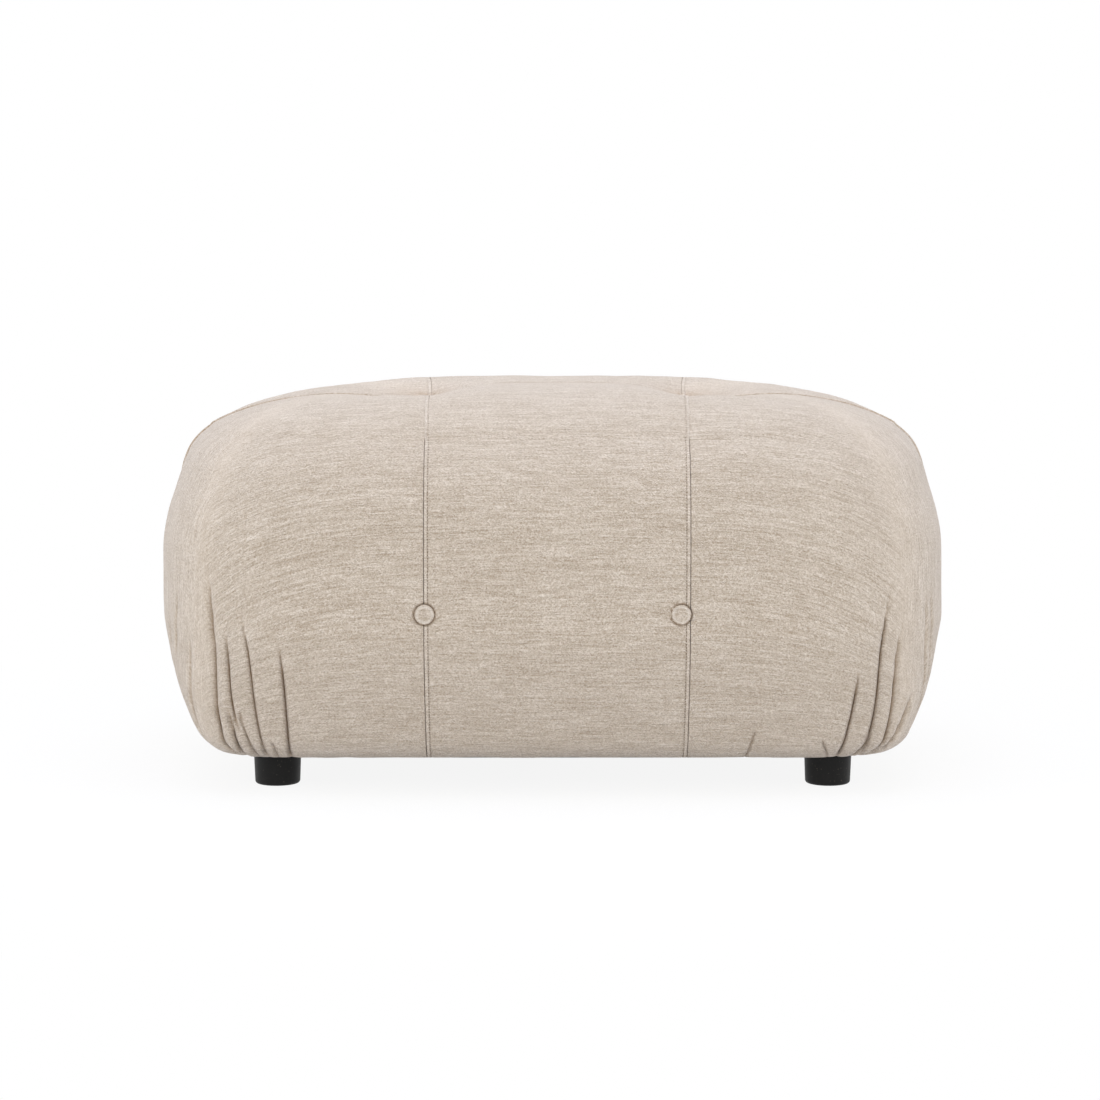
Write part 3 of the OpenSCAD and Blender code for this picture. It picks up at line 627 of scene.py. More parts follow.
def swollen(cover, p, flipped):
    """Simulates a panel's cloth on a coarse grid, pushed out by its filling. Returns each point's move."""
    rows = np.unique(np.append(np.arange(0, p.shape[0], CLOTH_STEP), p.shape[0] - 1))
    columns = np.unique(np.append(np.arange(0, p.shape[1], CLOTH_STEP), p.shape[1] - 1))
    coarse = np.ix_(rows, columns)
    start = (p - cover.outward(p) * cover.pull(p)[..., None])[coarse]
    held = held_fast(cover, p)
    piece = placed("cloth_trial", grid_mesh("cloth_trial", start, flipped), None)
    group = piece.vertex_groups.new(name="held")
    for index, weight in enumerate(held[coarse].ravel()):
        group.add([index], float(weight), "REPLACE")
    cloth = piece.modifiers.new("Cloth", "CLOTH")
    settings = {
        "quality": 6, "mass": 0.3, "tension_stiffness": 12.0, "compression_stiffness": 12.0,
        "shear_stiffness": 4.0, "bending_stiffness": 0.6, "shrink_min": -0.006, "vertex_group_mass": "held",
        "use_pressure": True, "uniform_pressure_force": CLOTH_PRESSURE,
    }
    for key, value in settings.items():
        setattr(cloth.settings, key, value)
    cloth.settings.effector_weights.gravity = 0.0
    cloth.collision_settings.use_collision = False
    scene = bpy.context.scene
    for frame_number in range(1, CLOTH_FRAMES + 1):
        scene.frame_set(frame_number)
    result = piece.evaluated_get(bpy.context.evaluated_depsgraph_get()).data
    move = vertex_places(result).reshape(start.shape) - start
    mesh = piece.data
    bpy.data.objects.remove(piece)
    bpy.data.meshes.remove(mesh)
    scene.frame_set(1)
    wrinkles = CLOTH_SHARE * (spread(move, 2) - spread(move, 24))
    size = np.linalg.norm(wrinkles, axis=-1, keepdims=True)
    wrinkles *= np.minimum(1.0, CLOTH_CAP / np.maximum(size, 1e-9))
    fine = np.stack([refined(wrinkles[..., k], rows, columns, p.shape[:2]) for k in range(3)], axis=-1)
    return fine * (1 - held)[..., None]


def spread(values, count):
    """Each number's mean with its neighbours, count times over, which leaves only the broad shape."""
    for _ in range(count):
        for axis in (0, 1):
            padded = np.concatenate([values.take([0], axis), values, values.take([-1], axis)], axis)
            size = values.shape[axis]
            before = padded.take(range(size), axis)
            after = padded.take(range(2, size + 2), axis)
            values = (before + 2 * values + after) / 4
    return values


def refined(values, rows, columns, shape):
    """Numbers on a coarse grid, spread smoothly over the fine one."""
    wide = np.array([np.interp(np.arange(shape[1]), columns, line) for line in values])
    return np.array([np.interp(np.arange(shape[0]), rows, line) for line in wide.T]).T


# Meshes and pieces
def write_layer(mesh, name, values):
    """Stores a number for each of a mesh's points, for its material."""
    attribute = mesh.attributes.new(name, "FLOAT", "POINT")
    attribute.data.foreach_set("value", np.asarray(values, dtype=np.float32).ravel())


def vertex_places(mesh):
    places = np.empty(3 * len(mesh.vertices), dtype=np.float32)
    mesh.vertices.foreach_get("co", places)
    return places.reshape(-1, 3).astype(float)


def reworked(mesh, change):
    """Makes one change to a mesh as a BMesh."""
    work = bmesh.new()
    work.from_mesh(mesh)
    change(work)
    work.to_mesh(mesh)
    work.free()


def grid_mesh(name, points, flipped, **layers):
    """A mesh from a grid of points, with a number per point for each of the named layers."""
    rows, columns = points.shape[:2]
    index = np.arange(rows * columns).reshape(rows, columns)
    quads = np.stack([index[:-1, :-1], index[1:, :-1], index[1:, 1:], index[:-1, 1:]], axis=-1).reshape(-1, 4)
    if flipped:
        quads = quads[:, ::-1]
    mesh = bpy.data.meshes.new(name)
    mesh.from_pydata(points.reshape(-1, 3).tolist(), [], quads.tolist())
    for layer, values in layers.items():
        write_layer(mesh, layer, np.broadcast_to(values, (rows, columns)))
    mesh.shade_smooth()
    return mesh


def placed(name, mesh, material):
    piece = bpy.data.objects.new(name, mesh)
    bpy.context.scene.collection.objects.link(piece)
    if material:
        mesh.materials.clear()
        mesh.materials.append(material)
    return piece


def applied(piece):
    """Turns a piece's modifiers into plain mesh."""
    view = bpy.context.evaluated_depsgraph_get()
    mesh = bpy.data.meshes.new_from_object(
        piece.evaluated_get(view), preserve_all_data_layers=True, depsgraph=view)
    piece.modifiers.clear()
    old = piece.data
    piece.data = mesh
    bpy.data.meshes.remove(old)
    return piece


def thickened(piece, thickness):
    """Gives a sheet its thickness on the inside."""
    solid = piece.modifiers.new("Thickness", "SOLIDIFY")
    solid.thickness = thickness
    solid.offset = -1
    return applied(piece)


def rides(piece, slot, *nodes):
    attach(piece, BODY)
    if nodes:
        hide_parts(*nodes)


# Shader and geometry nodes
def add_node(tree, kind, inputs=(), settings=(), output=0):
    """Adds any node: its settings first, then the values or wires of its sockets. Returns an output."""
    node = tree.nodes.new(kind)
    for key, value in dict(settings).items():
        setattr(node, key, value)
    for key, value in dict(inputs).items():
        if isinstance(value, Wire):
            tree.links.new(value.socket, node.inputs[key])
        else:
            node.inputs[key].default_value = value
    return Wire(tree, node.outputs[output]) if node.outputs else None


def between(operation, swapped=False):
    """A method that joins a wire to a number or another wire."""
    def method(self, other):
        return self.math(operation, other, self) if swapped else self.math(operation, self, other)
    return method


class Wire:
    """A shader socket that adds and multiplies like a number."""

    __add__ = between("ADD")
    __radd__ = between("ADD", True)
    __sub__ = between("SUBTRACT")
    __rsub__ = between("SUBTRACT", True)
    __mul__ = between("MULTIPLY")
    __rmul__ = between("MULTIPLY", True)
    most = between("MAXIMUM")

    def __init__(self, tree, socket):
        self.tree = tree
        self.socket = socket

    def math(self, operation, *values):
        return add_node(self.tree, "ShaderNodeMath", enumerate(values), {"operation": operation})

    def __neg__(self):
        return self.math("MULTIPLY", self, -1.0)

    def size(self):
        return self.math("ABSOLUTE", self)

    def wave(self):
        return self.math("SINE", self)

    def ease(self, start, end):
        """0 at start, 1 at end, with a smooth way between."""
        return self.ramp(start, end, "SMOOTHSTEP")

    def ramp(self, start, end, way="LINEAR"):
        """0 at start, 1 at end, with a straight way between."""
        inputs = {"Value": self, "From Min": start, "From Max": end}
        return add_node(self.tree, "ShaderNodeMapRange", inputs, {"interpolation_type": way}, "Result")


def linear(shade):
    """A screen colour as light."""
    return [v / 12.92 if v <= 0.04045 else ((v + 0.055) / 1.055) ** 2.4 for v in shade]


class Finish:
    """A material whose pattern is written as expressions on the object's own x, y and z."""

    def __init__(self, name, **constants):
        self.material = bpy.data.materials.new(name)
        self.material.use_nodes = True
        self.tree = self.material.node_tree
        self.shader = self.tree.nodes["Principled BSDF"]
        for socket, value in constants.items():
            self.shader.inputs[socket.replace("_", " ")].default_value = value
        self.place = self.node("ShaderNodeTexCoord", output="Object")
        split = self.node("ShaderNodeSeparateXYZ", {"Vector": self.place}).socket.node
        self.x, self.y, self.z = (Wire(self.tree, socket) for socket in split.outputs)

    def node(self, kind, inputs=(), settings=(), output=0):
        return add_node(self.tree, kind, inputs, settings, output)

    def layer(self, name):
        return self.node("ShaderNodeAttribute", (), {"attribute_name": name}, "Fac")

    def noise(self, x, y, z, detail=2.0, roughness=0.5):
        """Noise whose cells are one unit wide in the three coordinates given."""
        place = self.node("ShaderNodeCombineXYZ", {"X": x, "Y": y, "Z": z})
        inputs = {"Vector": place, "Scale": 1.0, "Detail": detail, "Roughness": roughness}
        return self.node("ShaderNodeTexNoise", inputs)

    def cells(self, per_metre, detail=2.0, roughness=0.5):
        """Noise with one or three numbers of cells per metre."""
        a, b, c = per_metre if isinstance(per_metre, tuple) else (per_metre,) * 3
        return self.noise(self.x * a, self.y * b, self.z * c, detail, roughness)

    def blend(self, a, b, share):
        """Mixes two colours, given as wires or as they look on a screen."""
        a, b = (c if isinstance(c, Wire) else (*linear(c), 1.0) for c in (a, b))
        return self.node("ShaderNodeMix", {0: share, 6: a, 7: b}, {"data_type": "RGBA"}, 2)

    def bump(self, height, distance, strength=1.0):
        return self.node("ShaderNodeBump", {"Height": height, "Distance": distance, "Strength": strength})

    def feed(self, **links):
        """Links patterns to the shader's sockets."""
        for socket, wire in links.items():
            self.tree.links.new(wire.socket, self.shader.inputs[socket.replace("_", " ")])
        return self.material


def chenille(cloth, sewing, name="oatmeal_chenille"):
    """Melange chenille: slubs along the weft, grain, soft clouds, and painted shade in the gathers, seams,
    tuft hollows and round the buttons, with painted highlights on the seam strips and button faces.
    """
    made = bpy.data.materials.get(name)
    if made:
        return made
    f = Finish(name, Roughness=0.92, Specular_IOR_Level=0.22, Sheen_Weight=0.60, Sheen_Roughness=0.50,
               Sheen_Tint=(1.0, 0.95, 0.90, 1.0))
    side = f.layer("side")
    roll = f.layer("roll")
    shade = f.layer("shade")
    tuck = f.layer("tuck")
    beyond = (f.x.size() - sewing.seam_crest).most(0.0)
    droop = beyond * beyond * cloth.drape * f.z.ease(0.46, 0.22)
    across_front = f.z - f.y.size() + droop - tuck
    along_side = f.x.size() - f.z + tuck

    def weave(along, across, detail):
        front = f.noise(f.x * along, across_front * across, roll, detail)
        end = f.noise(along_side * along, f.y * across, roll, detail)
        return front + (end - front) * side

    grain = weave(620.0, 820.0, 1.0) - 0.5
    slub = weave(38.0, 680.0, 2.0) - 0.5
    cloud = weave(9.0, 36.0, 2.0) - 0.5
    tone = grain * 1.05 + slub * 0.72 + cloud * 0.12
    shown = f.blend(cloth.middle, cloth.light, tone.ramp(0.0, 0.30))
    shown = f.blend(shown, cloth.dark, (-tone).ramp(0.0, 0.30))
    # The shade layer paints light and shade into the colour: a painted highlight where it is negative,
    # painted shade through brown to near black where it is positive
    shown = f.blend(shown, (0.93, 0.90, 0.86), (-shade).most(0.0))
    shown = f.blend(shown, (0.56, 0.44, 0.30), shade.ramp(0.0, 0.7) * 0.85)
    shown = f.blend(shown, (0.19, 0.12, 0.06), shade.ease(0.35, 1.0) * 0.85)
    return f.feed(Base_Color=shown, Normal=f.bump(grain + slub * 0.5, 0.0018))


def cover_pieces(form, sewing, cloth):
    """The six panels, each in its CAD node's place."""
    cover = Cover(form, sewing, cloth.thickness)
    panels = Panels(cover)
    centre = panels.centre()
    outer = panels.outer()
    material = chenille(cloth, sewing)
    dressed = []
    for name in ("front_centre", "front_right", "front_left", "back_centre", "back_right", "back_left"):
        back = "back" in name
        left = "left" in name
        inner = "centre" in name
        gathers = GATHERS.get(name, [])
        grid = centre
        seed = 40 if back else 10
        if not inner:
            grid = np.concatenate([outer[:TOP_ROWS + 1], cover.tightened(outer[TOP_ROWS + 1:], gathers)])
            seed += 8 if left else 3
        grid = grid * np.array([-1 if left else 1, -1 if back else 1, 1])
        points, shade = sewn(cover, grid, inner, not back, gathers, seed)
        points += swollen(cover, grid, back != left)
        dressed.append((name, points, shade, back != left))
    tuck = [0.0] * (TOP_ROWS + 1) + [float(cover.tuck(z, further)) for z, further in panels.wall]
    for order, (name, points, shade, flipped) in enumerate(dressed):
        to_end = abs(points[..., 0]) - cover.half_w - abs(points[..., 1]) + cover.half_d
        side = 0.0 if "centre" in name else ease(-0.05, 0.05, to_end)
        mesh = grid_mesh(name, points, flipped, side=side, roll=0.5 + 8.0 * order, shade=shade,
                         tuck=np.array(tuck)[:, None])
        piece = thickened(placed("panel_" + name, mesh, material), cloth.thickness)
        rides(piece, "cover_cloth", "cover_" + name)
    return cover


def turned(name, profile, segments, place, axis, material, wobble=None):
    """A profile of (radius, height) turned about an axis at a place. Its ends lie on the axis."""
    turns = np.linspace(0, 2 * math.pi, segments, endpoint=False)
    rings = []
    for radius, height in profile[1:-1]:
        r = radius - (wobble(radius, turns) if wobble else 0.0 * turns)
        rings.append(np.stack([r * np.cos(turns), r * np.sin(turns), np.full(segments, height)], axis=-1))
    points = np.array([(0, 0, profile[0][1]), *np.concatenate(rings).tolist(), (0, 0, profile[-1][1])])
    faces = []
    last = len(points) - 1
    for k in range(segments):
        after = (k + 1) % segments
        faces.append((0, 1 + k, 1 + after))
        faces.append((last, last - segments + after, last - segments + k))
        for low in range(1, 1 + (len(rings) - 1) * segments, segments):
            faces.append((low + k, low + segments + k, low + segments + after, low + after))
    turn = np.array(Vector(axis).to_track_quat("Z", "Y").to_matrix())
    mesh = bpy.data.meshes.new(name)
    mesh.from_pydata((points @ turn.T + np.array(place)).tolist(), [], faces)
    reworked(mesh, lambda work: bmesh.ops.recalc_face_normals(work, faces=work.faces))
    mesh.shade_smooth()
    return placed(name, mesh, material)


def arc_points(centre, radius, start, end, count):
    """Points of an arc in a profile, with its angles in degrees."""
    turns = np.radians(np.linspace(start, end, count))
    return [(centre[0] + radius * math.cos(t), centre[1] + radius * math.sin(t)) for t in turns]


BUTTON_WAYS = {"top": (0, 0, 1), "front": (0, -1, 0), "back": (0, 1, 0)}


def button_pieces(trim, sewing, cloth):
    """Eight covered buttons: a domed face, the cloth drawn round the rim in small folds, a shank."""
    radius = trim.button / 2
    fall = 0.0023
    rim = 0.0016
    shank = 0.003
    back = -trim.button_body
    profile = [(r, -fall * (r / radius) ** 2) for r in np.linspace(0, radius - 0.7 * rim, 16)]
    profile += arc_points((radius - rim, -fall - rim * 0.7), rim, 38, -90, 9)
    profile += [(radius - rim - 0.002, profile[-1][1] - 0.0002), (shank + 0.0005, back),
                (shank, back), (shank, back - shank), (0.0, back - shank)]

    def folds(r, turns):
        share = ease(radius - 0.0035, radius - 0.0005, r)
        return share * (0.00010 + 0.00010 * np.sin(23 * turns + 2 * np.sin(3 * turns)))

    material = chenille(cloth, sewing)
    for order, node in enumerate(BUTTON_NODES):
        kind, hand = node.split("_")[1:]
        axis = Vector(BUTTON_WAYS.get(kind, (1 if hand == "right" else -1, 0, 0)))
        low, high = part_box(node)
        centre = button_place(node)
        reach = Vector(abs(a) * (h - l) / 2 for a, h, l in zip(axis, high, low)).length
        piece = turned(node, profile, 80, centre + axis * reach, axis, material, folds)
        offset = vertex_places(piece.data) - np.array(centre)
        beside = offset - (offset @ np.array(axis))[:, None] * np.array(axis)
        from_rim = radius - np.linalg.norm(beside, axis=1)
        # Painted shade on the rim where the cloth turns under, and a painted highlight in a ring just inside
        # it
        rim_shade_and_highlight = 0.85 * ease(0.0013, 0.0005, from_rim) - 0.45 * bell(from_rim - 0.0030, 0.0012)
        layers = {"side": float(kind == "side"), "roll": 60.5 + 8.0 * order, "tuck": 0.0, "shade": rim_shade_and_highlight}
        for layer, values in layers.items():
            write_layer(piece.data, layer, values + 0.0 * from_rim)
        piece.name = node + "_covered"
        rides(piece, "button_cloth", node)


def foot_pieces(trim):
    """Four moulded feet with a drafted side, a rounded base, a shallow recess and a bored neck."""
    top = trim.foot_top / 2
    base = (trim.foot_top - trim.foot_draft) / 2
    edge = trim.foot_edge
    height = trim.foot_height
    neck = trim.neck / 2
    rim = 0.0007
    bore = 0.00415
    bore_end = 0.012
    material = moulded_plastic(trim)
    for node in FOOT_NODES:
        low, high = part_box(node)
        profile = [(0.0, rim), (base - 0.0090, rim), (base - 0.0082, 0.0004), (base - 0.0078, 0.0)]
        profile += arc_points((base - edge, edge), edge, -90, 3, 10)
        profile += [(mix(base, top, t), mix(edge, height - rim, t)) for t in (0.25, 0.5, 0.75, 1.0)]
        profile += arc_points((top - rim, height - rim), rim, 15, 90, 5)
        profile += [(neck + 0.0006, height), (neck, height + 0.0006), (neck, high.z - 0.0005),
                    (neck - 0.0005, high.z), (bore, high.z), (bore, bore_end), (0.0, bore_end)]
        centre = ((low.x + high.x) / 2, (low.y + high.y) / 2, 0.0)
        piece = turned(node, profile, 128, centre, (0, 0, 1), material)
        piece.name = node + "_moulded"
        rides(piece, "foot_plastic", node)


def dust_cover_piece(trim):
    """A black sheet stapled under the frame, slack between its staples, with a hole for each neck."""
    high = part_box("dust_cover")[1]
    corner = 0.040
    step = 0.006
    hole = trim.neck / 2 + 0.0008
    x = np.linspace(-1, 1, round(2 * high.x / step) + 1) * high.x
    shares = np.linspace(-1, 1, round(2 * high.y / step) + 1)
    over = np.clip(abs(x) - (high.x - corner), 0, corner)
    reach = high.y - corner + np.sqrt(np.maximum(corner**2 - over**2, 0.0))
    reach -= 0.007 * ease(0.14, 0.23, abs(x))
    area = float(np.sum((reach[1:] + reach[:-1]) * np.diff(x)))
    y = shares[:, None] * reach
    points = np.stack([np.broadcast_to(x, y.shape), y, np.full(y.shape, high.z)], axis=-1)
    to_edge = np.minimum(high.x - abs(points[..., 0]), high.y - abs(points[..., 1]))
    slack = ease(0.026, 0.16, to_edge) * trim.sag
    ripple = 0.0004 * wander(points, 0.11, 77) * ease(0.026, 0.06, to_edge)
    feet = [box_centre(node) for node in FOOT_NODES]
    for foot in feet:
        centre = np.array(foot.xy)
        away = np.linalg.norm(points[..., :2] - centre, axis=-1)
        slack = slack * ease(0.024, 0.07, away)
        snapped = np.where((away > hole * 0.55) & (away < hole + 0.5 * step), hole, away)
        points[..., :2] = centre + (points[..., :2] - centre) * (snapped / np.maximum(away, 1e-6))[..., None]
    edge_dip = 0.0010 * (1 - ease(0.10, 0.22, abs(points[..., 0]))) * ease(0.030, 0.005, to_edge)
    points[..., 2] -= slack - ripple + edge_dip

    def bored(work):
        gone = [f for f in work.faces if any(
            (f.calc_center_median().xy - foot.xy).length < hole - 0.0002 for foot in feet)]
        bmesh.ops.delete(work, geom=gone, context="FACES")

    mesh = grid_mesh("dust_cover", points, True)
    reworked(mesh, bored)
    piece = thickened(placed("dust_cover_cloth", mesh, nonwoven()), 0.0006)
    rides(piece, "dust_cloth", "dust_cover")


def foam_pieces(form, sewing):
    """The seat foam and the side pads, from their CAD solids with soft edges and an open skin."""
    material = open_foam()
    cover = Cover(form, sewing)
    for node in ("seat_foam", "pad_front", "pad_back", "pad_left", "pad_right"):
        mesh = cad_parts[node].data.copy()
        reworked(mesh, lambda work: bmesh.ops.remove_doubles(work, verts=work.verts, dist=0.00005))
        piece = placed(node + "_cut", mesh, None)
        cells = piece.modifiers.new("Cells", "REMESH")
        cells.mode = "VOXEL"
        cells.voxel_size = 0.007
        soft = piece.modifiers.new("Soft", "SMOOTH")
        soft.factor = 0.5
        soft.iterations = 4
        mesh = applied(piece).data
        mesh.vertices.foreach_set("co", cover.within(vertex_places(mesh), 0.006).astype(np.float32).ravel())
        mesh.materials.clear()
        mesh.materials.append(material)
        mesh.shade_smooth()
        rides(piece, "foam", node)


def thread_tree():
    """Geometry Nodes: stitches of thread along a line, at a pitch, each a small rounded bead."""
    tree = bpy.data.node_groups.new("thread_stitches", "GeometryNodeTree")
    for name in ("Geometry", "Pitch", "Length", "Width", "Material"):
        kind = name if name in ("Geometry", "Material") else "Float"
        tree.interface.new_socket(name, in_out="INPUT", socket_type="NodeSocket" + kind)
    tree.interface.new_socket("Geometry", in_out="OUTPUT", socket_type="NodeSocketGeometry")
    given = {socket.name: Wire(tree, socket) for socket in tree.nodes.new("NodeGroupInput").outputs}
    width = given["Width"]
    line = add_node(tree, "GeometryNodeMeshToCurve", {"Mesh": given["Geometry"]})
    spots = {"Curve": line, "Length": given["Pitch"]}
    spots = add_node(tree, "GeometryNodeCurveToPoints", spots, {"mode": "LENGTH"})
    turn = Wire(tree, spots.socket.node.outputs["Rotation"])
    bead = add_node(tree, "GeometryNodeMeshUVSphere", {"Segments": 6, "Rings": 5, "Radius": 0.5})
    size = add_node(tree, "ShaderNodeCombineXYZ", {"X": width, "Y": width, "Z": given["Length"]})
    given["Geometry"] = add_node(tree, "GeometryNodeInstanceOnPoints",
                                 {"Points": spots, "Instance": bead, "Rotation": turn, "Scale": size})
    for kind in ("GeometryNodeRealizeInstances", "GeometryNodeSetShadeSmooth", "GeometryNodeSetMaterial",
                 "NodeGroupOutput"):
        names = ("Geometry", "Material") if kind.endswith("Material") else ("Geometry",)
        given["Geometry"] = add_node(tree, kind, {name: given[name] for name in names})
    return tree


def stitch_pieces(cover):
    """Topstitches beside the two front-to-back seams and the long one, each seam's thread a piece."""
    s = cover.sewing
    tree = thread_tree()
    sockets = {item.name: item.identifier for item in tree.interface.items_tree if item.in_out == "INPUT"}
    values = {"Pitch": s.stitch_pitch, "Length": s.stitch_length, "Width": s.stitch_width,
              "Material": thread_and_hole_shade()}
    for name, lines in stitch_lines(cover).items():
        edges = []
        start = 0
        for line in lines:
            edges += [(start + k, start + k + 1) for k in range(len(line) - 1)]
            start += len(line)
        mesh = bpy.data.meshes.new(name)
        mesh.from_pydata(np.concatenate(lines).tolist(), edges, [])
        piece = placed(name, mesh, None)
        nodes = piece.modifiers.new("Stitches", "NODES")
        nodes.node_group = tree
        for socket, value in values.items():
            nodes[sockets[socket]] = value
        rides(applied(piece), "twine")


def stitch_lines(cover):
    """Where the topstitches run: on the centre panels beside their seams, and in front of the long seam."""
    panels = Panels(cover)
    s = cover.sewing
    away = s.strip
    crest = cover.ring(cover.crest)
    down = panels.wall[:-2]
    lines = {}
    for side_name, sign in (("left", -1), ("right", 1)):
        rows = []
        for t in panels.top_shares[3:]:
            x = mix(s.tuft_place, s.seam_crest, t) - away
            y = -t * cover.ring_y(crest, x)
            rows.append((x, y, cover.top_z(x, y)))
        for z, further in down:
            x = cover.seam_x(z) - away
            rows.append((x, -cover.ring_y(cover.ring(z, further), x), z))
        lines["topstitch_" + side_name] = [
            on_surface(cover, np.array(rows) * np.array([sign, flip, 1])) for flip in (1, -1)]

    def before_long(start, end):
        x = np.linspace(start, end, 90)
        return np.stack([x, 0 * x - away, cover.top_z(x, away)], axis=-1)

    inner = s.tuft_place - 0.010
    outer = before_long(s.tuft_place + 0.010, cover.ring_x(crest, away))
    wall = [(cover.ring_x(cover.ring(z, further), away), -away, z) for z, further in down]
    outer = np.concatenate([outer, np.array(wall)])
    lines["topstitch_long"] = [on_surface(cover, line) for line in (
        before_long(-inner, inner), outer * np.array([-1, 1, 1]), outer)]
    return lines


def on_surface(cover, line):
    """Draws a line of the smooth form in as the cloth is, and sinks half a thread's width into it."""
    lift = cover.sewing.stitch_width * 0.30 - 0.0008 + cover.skin
    return cover.leaned(line - cover.outward(line) * (cover.pull(line) - lift)[:, None])


# Finishes
# Thread made dark, partly its own colour and partly painted shade of the needle holes it sinks into
def thread_and_hole_shade():
    f = Finish("thread_and_hole_shade", Roughness=0.6, Sheen_Weight=0.2)
    return f.feed(Base_Color=f.blend((0.40, 0.33, 0.26), (0.52, 0.45, 0.37), f.cells(1500.0)))


def moulded_plastic(trim):
    """Satin black plastic with a fine spark texture, faint flow marks and a little dust."""
    f = Finish("moulded_plastic", Specular_IOR_Level=0.22)
    spark = f.cells(1400.0, 2.0, 0.6)
    flow = f.cells((60.0, 60.0, 140.0), 3.0)
    specks = f.cells(420.0, 1.0).ease(0.70, 0.76)
    shown = f.blend(tuple(trim.plastic), (0.070, 0.067, 0.064), flow)
    shown = f.blend(shown, (0.40, 0.37, 0.33), specks * 0.5)
    rough = 0.42 + flow * 0.12 + specks * 0.2
    return f.feed(Base_Color=shown, Roughness=rough, Normal=f.bump(spark, 0.00012, 0.6))


def nonwoven():
    """Spun-bonded black cloth: tangled fibres and rows of small bonded dots."""
    f = Finish("spun_bonded_black", Roughness=0.85, Specular_IOR_Level=0.2)
    fibres = f.cells((260.0, 900.0, 300.0), 3.0, 0.7)
    dots = ((f.x * 2100.0).wave() * (f.y * 2100.0).wave()).ease(0.6, 0.95)
    shown = f.blend((0.055, 0.055, 0.058), (0.135, 0.135, 0.140), fibres.ease(0.35, 0.7))
    shown = f.blend(shown, (0.03, 0.03, 0.032), dots)
    return f.feed(Base_Color=shown, Normal=f.bump(fibres - dots, 0.0003, 0.7))


def open_foam():
    """Cut polyurethane foam with fine open cells."""
    f = Finish("cut_foam", Roughness=0.95, Specular_IOR_Level=0.15)
    cells = f.cells(700.0, 2.0, 0.6)
    shown = f.blend((0.90, 0.86, 0.68), (0.96, 0.94, 0.84), cells)
    shown = f.blend(shown, (0.88, 0.82, 0.60), f.cells(12.0).ease(0.5, 0.8) * 0.5)
    return f.feed(Base_Color=shown, Normal=f.bump(cells, 0.0006))


def pine():
    """Sawn pine with growth rings along X or Y and a few darker streaks."""
    f = Finish("sawn_pine", Roughness=0.7)
    rings = (f.z * 420.0 + f.cells((3.0, 3.0, 9.0)) * 9.0).wave() * 0.5 + 0.5
    pores = f.cells((60.0, 60.0, 900.0), 2.0, 0.7)
    shown = f.blend((0.86, 0.72, 0.52), (0.74, 0.57, 0.37), rings * 0.6)
    shown = f.blend(shown, (0.60, 0.43, 0.27), pores.ease(0.6, 0.8) * 0.5)
    return f.feed(Base_Color=shown, Normal=f.bump(pores + rings * 0.3, 0.0004, 0.5))


def jute_webbing():
    """Crossed yarns of a dark woven strap."""
    f = Finish("jute_webbing", Roughness=0.85, Specular_IOR_Level=0.25)
    turn = 2 * math.pi / 0.0036
    crossed = (f.x * turn).wave() * (f.y * turn).wave()
    fuzz = f.cells(800.0)
    shown = f.blend((0.10, 0.10, 0.11), (0.26, 0.25, 0.25), (crossed * 0.4 + fuzz).ease(0.2, 0.9))
    return f.feed(Base_Color=shown, Normal=f.bump(crossed * 0.5 + fuzz, 0.0004))


def metal(name, base, worn, roughness):
    """Plated metal with brushed scratches and duller patches."""
    f = Finish(name, Metallic=1.0)
    brush = f.cells((900.0, 900.0, 60.0))
    shown = f.blend(base, worn, f.cells(90.0, 3.0).ease(0.4, 0.7))
    return f.feed(Base_Color=shown, Roughness=roughness + brush * 0.2, Normal=f.bump(brush, 0.00005, 0.5))


def twisted_twine():
    f = Finish("waxed_twine", Roughness=0.55)
    lay = ((f.x + f.y + f.z) * 2600.0).wave() * 0.5 + 0.5
    return f.feed(Base_Color=f.blend((0.72, 0.68, 0.58), (0.90, 0.87, 0.78), lay), Normal=f.bump(lay, 0.0003))


def finish_nodes():
    """Gives every CAD node that shows its procedural finish, by the first word of its name."""
    f = Finish("hardboard", Roughness=0.6)
    fibres = f.cells((220.0, 220.0, 500.0), 3.0, 0.7)
    shown = f.blend((0.46, 0.33, 0.21), (0.62, 0.47, 0.32), fibres)
    hardboard = f.feed(Base_Color=shown, Normal=f.bump(fibres, 0.0002, 0.6))
    f = Finish("needled_felt", Roughness=0.95, Specular_IOR_Level=0.1)
    fluff = f.cells(320.0, 4.0, 0.75)
    shown = f.blend((0.42, 0.42, 0.41), (0.70, 0.69, 0.66), fluff.ease(0.3, 0.7))
    felt = f.feed(Base_Color=shown, Normal=f.bump(fluff, 0.0012))
    steel = metal("zinc_plate", (0.78, 0.79, 0.80), (0.62, 0.63, 0.64), 0.30)
    finishes = {
        "board": hardboard, "webbing": jute_webbing(), "insulator": felt, "tufting": twisted_twine(),
        "threaded": metal("brass", (0.86, 0.72, 0.40), (0.70, 0.56, 0.30), 0.28),
        **dict.fromkeys(("block", "post", "rail", "stretcher"), pine()),
        **dict.fromkeys(("frame", "hem", "dust", "twine", "foot"), steel),
    }
    for name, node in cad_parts.items():
        if not node.hide_render:
            node.data.materials.clear()
            node.data.materials.append(finishes[name.split("_")[0]])


class OTTOMAN_OT_cover(bpy.types.Operator):
    """Sews the six panels of the cover"""

    bl_idname = "ottoman.cover"
    bl_label = "Cover panels"

    def execute(self, context):
        scene = context.scene
        stitch_pieces(cover_pieces(scene.ottoman_form, scene.ottoman_sewing, scene.ottoman_cloth))
        return {"FINISHED"}


class OTTOMAN_OT_buttons(bpy.types.Operator):
    """Covers the eight buttons with cloth"""

    bl_idname = "ottoman.buttons"
    bl_label = "Covered buttons"

    def execute(self, context):
        scene = context.scene
        button_pieces(scene.ottoman_trim, scene.ottoman_sewing, scene.ottoman_cloth)
        return {"FINISHED"}


